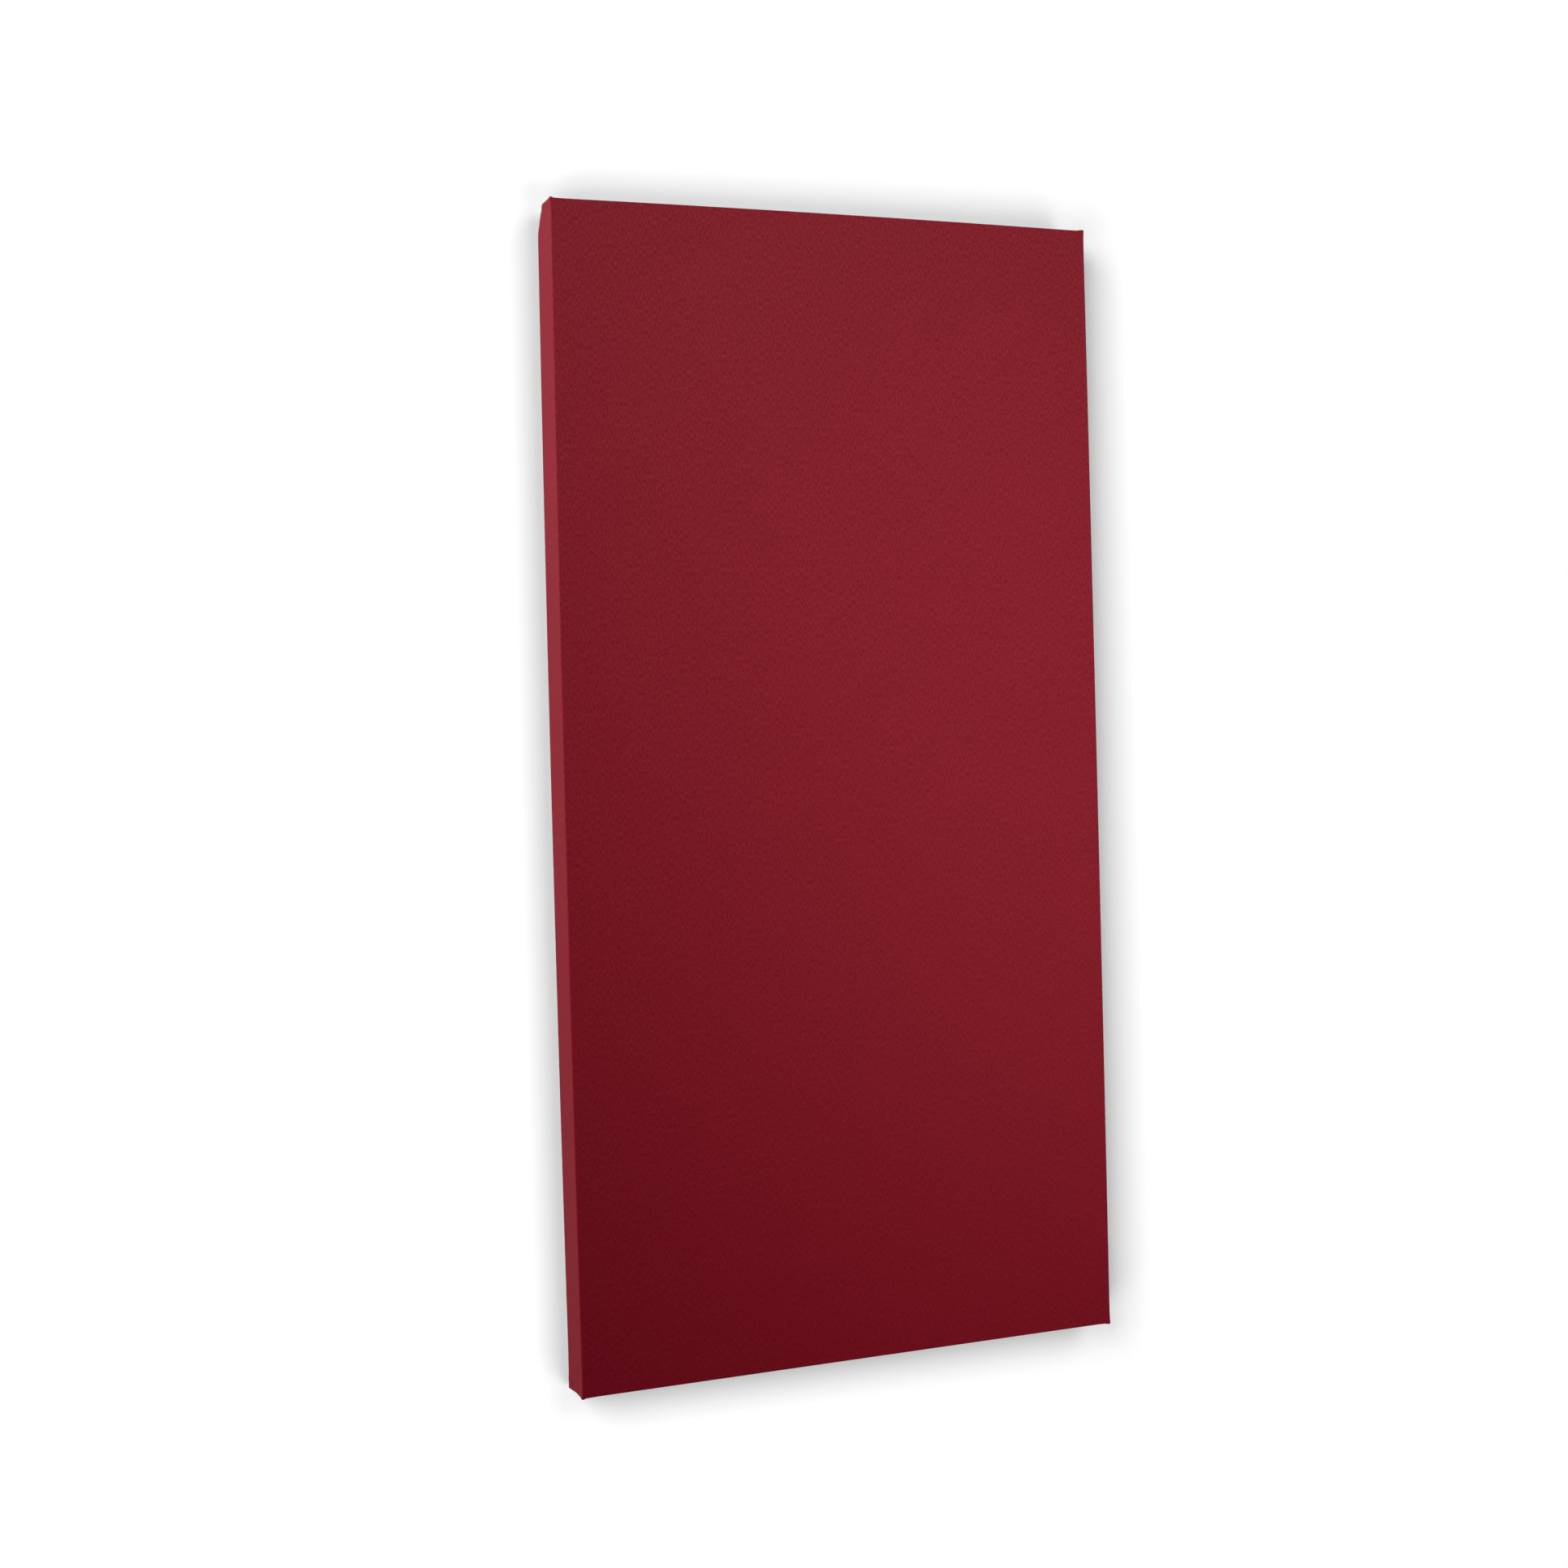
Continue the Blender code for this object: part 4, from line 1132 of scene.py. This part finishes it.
def staples(places, turns, face, crown, seed):
    """A staple at each place on a face of the back, each turned and driven a little differently."""
    template, middle = staple_points(crown)
    rng = np.random.default_rng(seed)
    patches = []
    for place, turn in zip(places, turns + rng.normal(0, STAPLE_TURN, len(places))):
        along = (math.cos(turn), 0.0, math.sin(turn))
        across = (-math.sin(turn), 0.0, math.cos(turn))
        axes = np.array([along, across, (0.0, 1.0, 0.0)])
        start = np.array([place[0], face + rng.uniform(*DRIVEN), place[1]])
        patches.append(turned_patch(template, middle, start, axes))
    return patches


def ring_round(radius, angle, height):
    """Points round the third axis: the radius times the angle's cosine and sine."""
    return grid_of(radius * np.cos(angle), radius * np.sin(angle), height)


def cross_recess(across, up, radius):
    """Depth of a cross-shaped recess: arms along two axes, deepest in the middle, with steep walls."""
    near, far = np.minimum(np.abs(across), np.abs(up)), np.maximum(np.abs(across), np.abs(up))
    reach = CROSS_REACH * radius
    inside = np.minimum(CROSS_HALF_WIDTH * radius - near, reach - far)
    depth = CROSS_DEPTH * radius * (1 - CROSS_SLOPE * np.clip(far / reach, 0, 1))
    return depth * smooth_step(inside / CROSS_WALL + 0.4)


def screw_points(radius, length, dome, turn):
    """A screw along its third axis, the top of its head at height 0.

    Rings of points round the axis: the head with its recess, a plain neck, a thread whose ridge is
    a peak in the fraction of a turn used so far, and a tapered tip.
    """
    shank = radius * (DOMED_SHANK if dome else SHANK)
    pitch = THREAD_PITCH * radius
    angle = np.linspace(0, 2 * math.pi, SCREW_STEPS + 1)[None, :]
    top = radius * np.linspace(0, 1, HEAD_RINGS)[:, None] ** 0.9
    rise = dome * (np.sqrt(np.maximum(1 - (top / radius) ** 4, 0)) - 1)
    head = rise - cross_recess(top * np.cos(angle - turn), top * np.sin(angle - turn), radius)
    if dome:
        neck = [(radius, -dome), (shank * 1.05, -dome)]
    else:
        neck = [(radius, -HEAD_RIM), (shank, -HEAD_RIM - (radius - shank))]
    start = -neck[-1][1]
    plain = start + PLAIN_SHARE * (length - start)
    neck = np.array(neck + [(shank, -plain + 0.0002)])
    thread = np.linspace(plain, length, max(12, round(THREAD_RINGS * (length - plain) / pitch)))[:, None]
    turns = np.mod(thread / pitch + angle / (2 * math.pi), 1.0)
    ridge = np.clip(1 - RIDGE_SLOPE * np.abs(turns - 0.5), 0, 1)
    taper = np.clip((length - thread) / (TIP * shank), 0, 1) ** 0.8
    body = shank * taper * (1 - smooth_step((thread - plain) / pitch) * (ROOT - RIDGE * ridge))
    rings = np.concatenate([top + 0 * angle, neck[:, :1] + 0 * angle, body])
    heights = np.concatenate([head, neck[:, 1:] + 0 * angle, -thread + 0 * angle])
    return ring_round(rings, angle, heights)


def facing_axes(facing):
    """Three axes, the second of them upwards and the third facing a way."""
    up = (0.0, 0.0, 1.0)
    return np.array([np.cross(up, facing), up, facing], float)


def screw_facing(name):
    """Which way a screw's head faces: to the side for the frame's own screws, otherwise to the wall."""
    if "frame_screw" not in name:
        return WALLWARD
    return (LEFT, 0, 0) if "_left_" in name else (RIGHT, 0, 0)


def screw(name, turn):
    """The screw that stands for a CAD node, of that node's size and in its place."""
    low, high = (np.array(corner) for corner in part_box(name))
    facing = np.array(screw_facing(name))
    length = float(np.abs((high - low) @ facing))
    dome = DOME if name.startswith("cleat_screw") else 0.0
    points = screw_points(float(high[2] - low[2]) / 2, length, dome, turn)
    place = (low + high) / 2 + facing * length / 2
    return [turned_patch(points, points.mean(axis=(0, 1)), place, facing_axes(facing))]


def bumper(name):
    """A ring turned from its half section, each side of which is cut in two."""
    low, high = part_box(name)
    section = np.array(BUMPER_HALF_SECTION)
    corners = np.arange(len(section))
    along = np.linspace(0, len(section) - 1, 2 * (len(section) - 1) + 1)
    radius, height = (np.interp(along, corners, part)[:, None] for part in section.T)
    angle = np.linspace(0, 2 * math.pi, BUMPER_STEPS + 1)[None, :]
    points, middle = ring_round(radius, angle, height), ring_round(BUMPER_CORE[0], angle, BUMPER_CORE[1])
    place = ((low.x + high.x) / 2, high.y, (low.z + high.z) / 2)
    return [turned_patch(points, middle, place, facing_axes(WALLWARD))]


def eased_copy(node, name, width):
    """A copy of a CAD node's shape, its flat faces whole again and its edges slightly rounded."""
    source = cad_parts[node].data
    points = np.empty(len(source.vertices) * 3)
    source.vertices.foreach_get("co", points)
    corners = np.empty(len(source.loops), dtype=np.int32)
    source.loops.foreach_get("vertex_index", corners)
    mesh = bpy.data.meshes.new(name)
    mesh.from_pydata(points.reshape(-1, 3), [], corners.reshape(-1, 3))
    bm = bmesh.new()
    bm.from_mesh(mesh)
    bmesh.ops.remove_doubles(bm, verts=bm.verts, dist=WELD)
    bmesh.ops.dissolve_limit(bm, angle_limit=math.radians(1), verts=bm.verts, edges=bm.edges)
    sharp = [edge for edge in bm.edges if edge.is_manifold and edge.calc_face_angle() > SHARP]
    bmesh.ops.bevel(bm, geom=sharp, offset=width, segments=2, affect="EDGES", clamp_overlap=True)
    bmesh.ops.recalc_face_normals(bm, faces=bm.faces)
    bm.to_mesh(mesh)
    bm.free()
    mesh.shade_smooth()
    mesh.set_sharp_from_angle(angle=SHARP)
    return mesh


def zinc_finish(context):
    """The zinc plate of the staples and the screws, which is made once."""
    return bpy.data.materials.get("zinc_plate") or zinc_steel(context.scene.acoustic_hardware)


class ACOUSTIC_OT_boards(bpy.types.Operator):
    """Gives the frame, the slats and the gussets their wood"""

    bl_idname = "acoustic.boards"
    bl_label = "Boards"

    def execute(self, context):
        ring = context.scene.acoustic_hardware.ring_pine
        finishes = (
            (pine("Z", ring), STILES),
            (pine("X", ring), RAILS),
            (plywood("X"), (*SLATS, "left_gusset", "right_gusset")),
        )
        for finish, names in finishes:
            for name in names:
                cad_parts[name].material_slots[0].material = finish
        return {"FINISHED"}


class ACOUSTIC_OT_staples(bpy.types.Operator):
    """Makes the staples of the dust cover, and those that hold the cloth's returns and corner folds"""

    bl_idname = "acoustic.staples"
    bl_label = "Staples"

    def execute(self, context):
        back, crown = context.scene.acoustic_back, context.scene.acoustic_hardware.staple_crown
        finish = zinc_finish(context)
        patches = staples(*cover_staples(back), COVER_HIGH.y + ON_COVER, crown, 61)
        add_piece("cover_staples", patches, finish)
        returns = outline_places(CLOTH_STAPLE_INSET, CLOTH_STAPLE_CUT, back.staple_spacing)
        places, turns = (np.concatenate(both) for both in zip(returns, self.at_corners()))
        add_piece("cloth_staples", staples(places, turns, BACK + ON_CLOTH, crown, 62), finish)
        return {"FINISHED"}

    def at_corners(self):
        """Two staples at each corner: one across the mitre, and one on the end of the fold."""
        places, turns = [], []
        for side, end in Wrap.CORNERS:
            corner = np.array([side * SIDE, MIDDLE + end * HALF_HEIGHT])
            places += [corner + np.array([-side, -end]) * inwards for inwards in CORNER_STAPLES]
            turns += [side * end * -math.pi / 4, 0.0]
        return places, turns


class ACOUSTIC_OT_screws(bpy.types.Operator):
    """Makes the screws of the frame, the slats, the cleat and the bumpers"""

    bl_idname = "acoustic.screws"
    bl_label = "Screws"

    def execute(self, context):
        finish = zinc_finish(context)
        rng = np.random.default_rng(71)
        for name in sorted(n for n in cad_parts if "screw" in n):
            patches = screw(name, rng.uniform(0, math.pi / 2))
            add_piece("turned_" + name, patches, finish, [name])
        return {"FINISHED"}


class ACOUSTIC_OT_bumpers(bpy.types.Operator):
    """Makes the two rubber bumpers"""

    bl_idname = "acoustic.bumpers"
    bl_label = "Bumpers"

    def execute(self, context):
        finish = rubber()
        for name in ("left_bumper", "right_bumper"):
            add_piece("moulded_" + name, bumper(name), finish, [name])
        return {"FINISHED"}


class ACOUSTIC_OT_cleats(bpy.types.Operator):
    """Makes the two interlocking cleats with slightly rounded edges"""

    bl_idname = "acoustic.cleats"
    bl_label = "Cleats"

    def execute(self, context):
        settings = context.scene.acoustic_hardware
        finish = aluminium(settings)
        for name, body in (("panel_cleat", "panel"), ("wall_cleat", "wall_side")):
            mesh = eased_copy(name, "eased_" + name, settings.cleat_edge)
            add_piece("eased_" + name, mesh, finish, [name], body)
        return {"FINISHED"}


# Stage

WHITE = (1.0, 1.0, 1.0)
CAMERA_PLACE = (-0.9122, -2.2301, -0.4399)
CAMERA_TURN = (89.401, 1.489, -21.66)
CAMERA_SHIFT = (-0.0095, -0.0332)
SENSOR_WIDTH = 36.0
WALL_Y = 0.0006
# The wall's left, right, lower and upper limits. Past them the camera sees the room's white.
WALL_LIMITS = (-1.5, 0.5, -2.1, 1.0)
# Painted light: the wall's tone rises by this much between these places, in place of more lamp light there,
# so that its right edge isn't seen.
PAINTED_LIGHT_RISE = 1.08
PAINTED_LIGHT_SPAN = (0.36, 0.46)
DIMMED = (-0.1, 0.5)  # the even light grows from its front strength to its back strength between these
BOX_HEIGHT = 2.8
SPOT_SIZE = 0.3
# Name, place, width and power of each tall lamp: those that light only the wall, then the panel's own
WALL_LAMPS = (
    ("wall_left_high_lamp", (-3.7, -4.05, 1.7), 2.8, 233.0),
    ("wall_left_low_lamp", (-3.7, -4.05, -2.75), 2.8, 134.0),
    ("wall_left_far_lamp", (-4.6, -3.2, -0.5), 1.6, 21.0),
    ("wall_right_high_lamp", (1.2, -4.05, 1.7), 2.6, 84.0),
    ("wall_right_low_lamp", (1.2, -4.05, -2.75), 2.6, 93.0),
)
PANEL_LAMPS = (
    ("key_lamp", (-3.7, -4.05, 1.7), 2.8, 176.0),
    ("back_lamp", (0.6, 3.6, -1.3), 2.0, 40.0),
    ("back_right_lamp", (2.8, 2.2, -0.9), 2.0, 16.0),
)
# Place and aim of the two smaller lamps
TOP_LAMP = (0.0, 0.5, 2.5), (0.0, 0.0, TOP)
SIDE_LAMP = (-2.4, -0.25, 0.2), (-SIDE, -0.03, 0.2)
SMALL_WIDTH, SIDE_LAMP_HEIGHT, TOP_LAMP_POWER = 0.6, 0.9, 36.0
# Name, place, aim, angle and power of each lamp that evens out the light on the cloth's front
SPOT_LAMPS = (
    ("high_spot", (0.3, -2.4, 0.6), (0.1, 0.0, 0.1), 44.0, 113.0),
    ("right_spot", (1.4, -2.0, -0.6), (0.35, 0.0, -0.55), 44.0, 111.0),
    ("low_spot", (1.2, -2.2, -1.3), (0.3, 0.0, -1.05), 40.0, 57.0),
)


def room_wall(material):
    """The white wall that the camera sees behind the panel. It throws no light and no shadow."""
    left, right, low, high = WALL_LIMITS
    corners = [(left, WALL_Y, low), (right, WALL_Y, low), (right, WALL_Y, high), (left, WALL_Y, high)]
    mesh = bpy.data.meshes.new("wall")
    mesh.from_pydata(corners, [], [(0, 1, 2, 3)])
    mesh.materials.append(material)
    wall = add_object("wall", mesh)
    wall.visible_diffuse = False
    wall.visible_glossy = False
    wall.visible_shadow = False
    return wall


def show_either(nodes, output, factor, first, second):
    """Ends a node tree with a mix of two shaders."""
    nodes.add(output, {"Surface": nodes.add("MixShader", (factor, first[0], second[0]))[0]})


def room_material(tone):
    """White paint with painted light that makes it whitest at the right edge, seen from its front. Nothing is
    seen from behind.
    """
    material = bpy.data.materials.new("room_white")
    material.use_nodes = True
    nodes = Nodes(material.node_tree)
    nodes.tree.nodes.clear()
    # Painted light: the tone rises towards the wall's right edge.
    painted_light_tone = nodes.remap(nodes.parts(nodes.place())["X"], *PAINTED_LIGHT_SPAN, tone, PAINTED_LIGHT_RISE * tone)
    paint = nodes.add("BsdfDiffuse", {"Color": painted_light_tone})
    behind = nodes.add("NewGeometry")["Backfacing"]
    show_either(nodes, "OutputMaterial", behind, paint, nodes.add("BsdfTransparent"))
    return material


def room_light(settings):
    """Even light from the front and a stronger one from behind. The camera sees white."""
    world = bpy.data.worlds.new("room")
    world.use_nodes = True
    nodes = Nodes(world.node_tree)
    nodes.tree.nodes.clear()
    deep = nodes.parts(nodes.place())["Y"]
    strength = nodes.remap(deep, *DIMMED, settings.room_light, settings.back_light)
    light, white = (nodes.add("Background", {"Color": WHITE, "Strength": level}) for level in (strength, 1.0))
    path = nodes.add("LightPath")
    seen = nodes.calculate("MAXIMUM", path["Is Camera Ray"], path["Is Transmission Ray"])
    show_either(nodes, "OutputWorld", seen, light, white)
    bpy.context.scene.world = world


def add_lamp(data, place, aim, power, wall, lights_wall=False):
    """Puts a lamp in its place, turned to what it lights. It lights either only the wall or all the rest."""
    data.energy = power
    lamp = add_object(data.name, data)
    lamp.location = place
    lamp.rotation_euler = (Vector(aim) - Vector(place)).to_track_quat("-Z", "Y").to_euler()
    linked = bpy.data.collections.new(data.name + "_wall")
    linked.objects.link(wall)
    lamp.light_linking.receiver_collection = linked
    linked.collection_objects[0].light_linking.link_state = "INCLUDE" if lights_wall else "EXCLUDE"


def soft_box(name, width, height=BOX_HEIGHT):
    """A lamp that shines from the whole of a rectangle."""
    data = bpy.data.lights.new(name, "AREA")
    data.shape = "RECTANGLE"
    data.size, data.size_y = width, height
    return data


def soft_spot(name, angle):
    """A lamp whose light fades all the way from the middle of its beam to the edge."""
    data = bpy.data.lights.new(name, "SPOT")
    data.spot_size = math.radians(angle)
    data.spot_blend = 1.0
    data.shadow_soft_size = SPOT_SIZE
    return data


def add_camera(focal_length):
    """The camera, where the photo's perspective puts it."""
    data = bpy.data.cameras.new("camera")
    data.lens = focal_length
    data.sensor_width = SENSOR_WIDTH
    data.shift_x, data.shift_y = CAMERA_SHIFT
    camera = add_object("camera", data)
    camera.location = CAMERA_PLACE
    camera.rotation_euler = [math.radians(angle) for angle in CAMERA_TURN]
    bpy.context.scene.camera = camera


class ACOUSTIC_OT_stage(bpy.types.Operator):
    """Makes the camera, the white wall and the soft light"""

    bl_idname = "acoustic.stage"
    bl_label = "Stage"

    def execute(self, context):
        settings = context.scene.acoustic_stage
        context.scene.view_settings.view_transform = "Standard"
        add_camera(settings.focal_length)
        room_light(settings)
        wall = room_wall(room_material(settings.wall_tone))
        middle = (0.0, FRONT, MIDDLE)
        for lamps, lights_wall in ((WALL_LAMPS, True), (PANEL_LAMPS, False)):
            for name, place, width, power in lamps:
                add_lamp(soft_box(name, width), place, middle, power, wall, lights_wall)
        top = soft_box("top_lamp", SMALL_WIDTH, SMALL_WIDTH)
        add_lamp(top, *TOP_LAMP, TOP_LAMP_POWER, wall)
        side = soft_box("side_lamp", SMALL_WIDTH, SIDE_LAMP_HEIGHT)
        add_lamp(side, *SIDE_LAMP, settings.side_light, wall)
        for name, place, aim, angle, power in SPOT_LAMPS:
            add_lamp(soft_spot(name, angle), place, aim, power, wall)
        return {"FINISHED"}


OPERATORS = (
    ACOUSTIC_OT_stage,
    ACOUSTIC_OT_cloth,
    ACOUSTIC_OT_scrim,
    ACOUSTIC_OT_filling,
    ACOUSTIC_OT_boards,
    ACOUSTIC_OT_dust_cover,
    ACOUSTIC_OT_staples,
    ACOUSTIC_OT_screws,
    ACOUSTIC_OT_bumpers,
    ACOUSTIC_OT_cleats,
)
SETTINGS = {
    "acoustic_cloth": ClothSettings,
    "acoustic_back": BackSettings,
    "acoustic_hardware": HardwareSettings,
    "acoustic_stage": StageSettings,
}
GROUPS = (weave_group, grain_group, brushed_group, dust_group)


class ACOUSTIC_PT_pieces(bpy.types.Panel):
    """Lists the operators that make the pieces, and the pieces' settings"""

    bl_label = "Acoustic Panel"
    bl_space_type = "VIEW_3D"
    bl_region_type = "UI"
    bl_category = "Acoustic Panel"

    def draw(self, context):
        column = self.layout.column()
        for operator in OPERATORS:
            column.operator(operator.bl_idname)
        for name, group in SETTINGS.items():
            box = self.layout.box()
            for setting in group.__annotations__:
                box.prop(getattr(context.scene, name), setting)


CLASSES = (*SETTINGS.values(), *OPERATORS, ACOUSTIC_PT_pieces)


def register():
    for cls in CLASSES:
        bpy.utils.register_class(cls)
    for name, group in SETTINGS.items():
        setattr(bpy.types.Scene, name, PointerProperty(type=group))


def unregister():
    for name in SETTINGS:
        delattr(bpy.types.Scene, name)
    for cls in reversed(CLASSES):
        bpy.utils.unregister_class(cls)


def main():
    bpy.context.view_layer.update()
    register()
    for build in GROUPS:
        build()
    bpy.ops.acoustic.stage()
    bpy.ops.acoustic.cloth()
    bpy.ops.acoustic.scrim()
    bpy.ops.acoustic.filling()
    bpy.ops.acoustic.boards()
    bpy.ops.acoustic.dust_cover()
    bpy.ops.acoustic.staples()
    bpy.ops.acoustic.screws()
    bpy.ops.acoustic.bumpers()
    bpy.ops.acoustic.cleats()


if __name__ == "__main__":
    main()
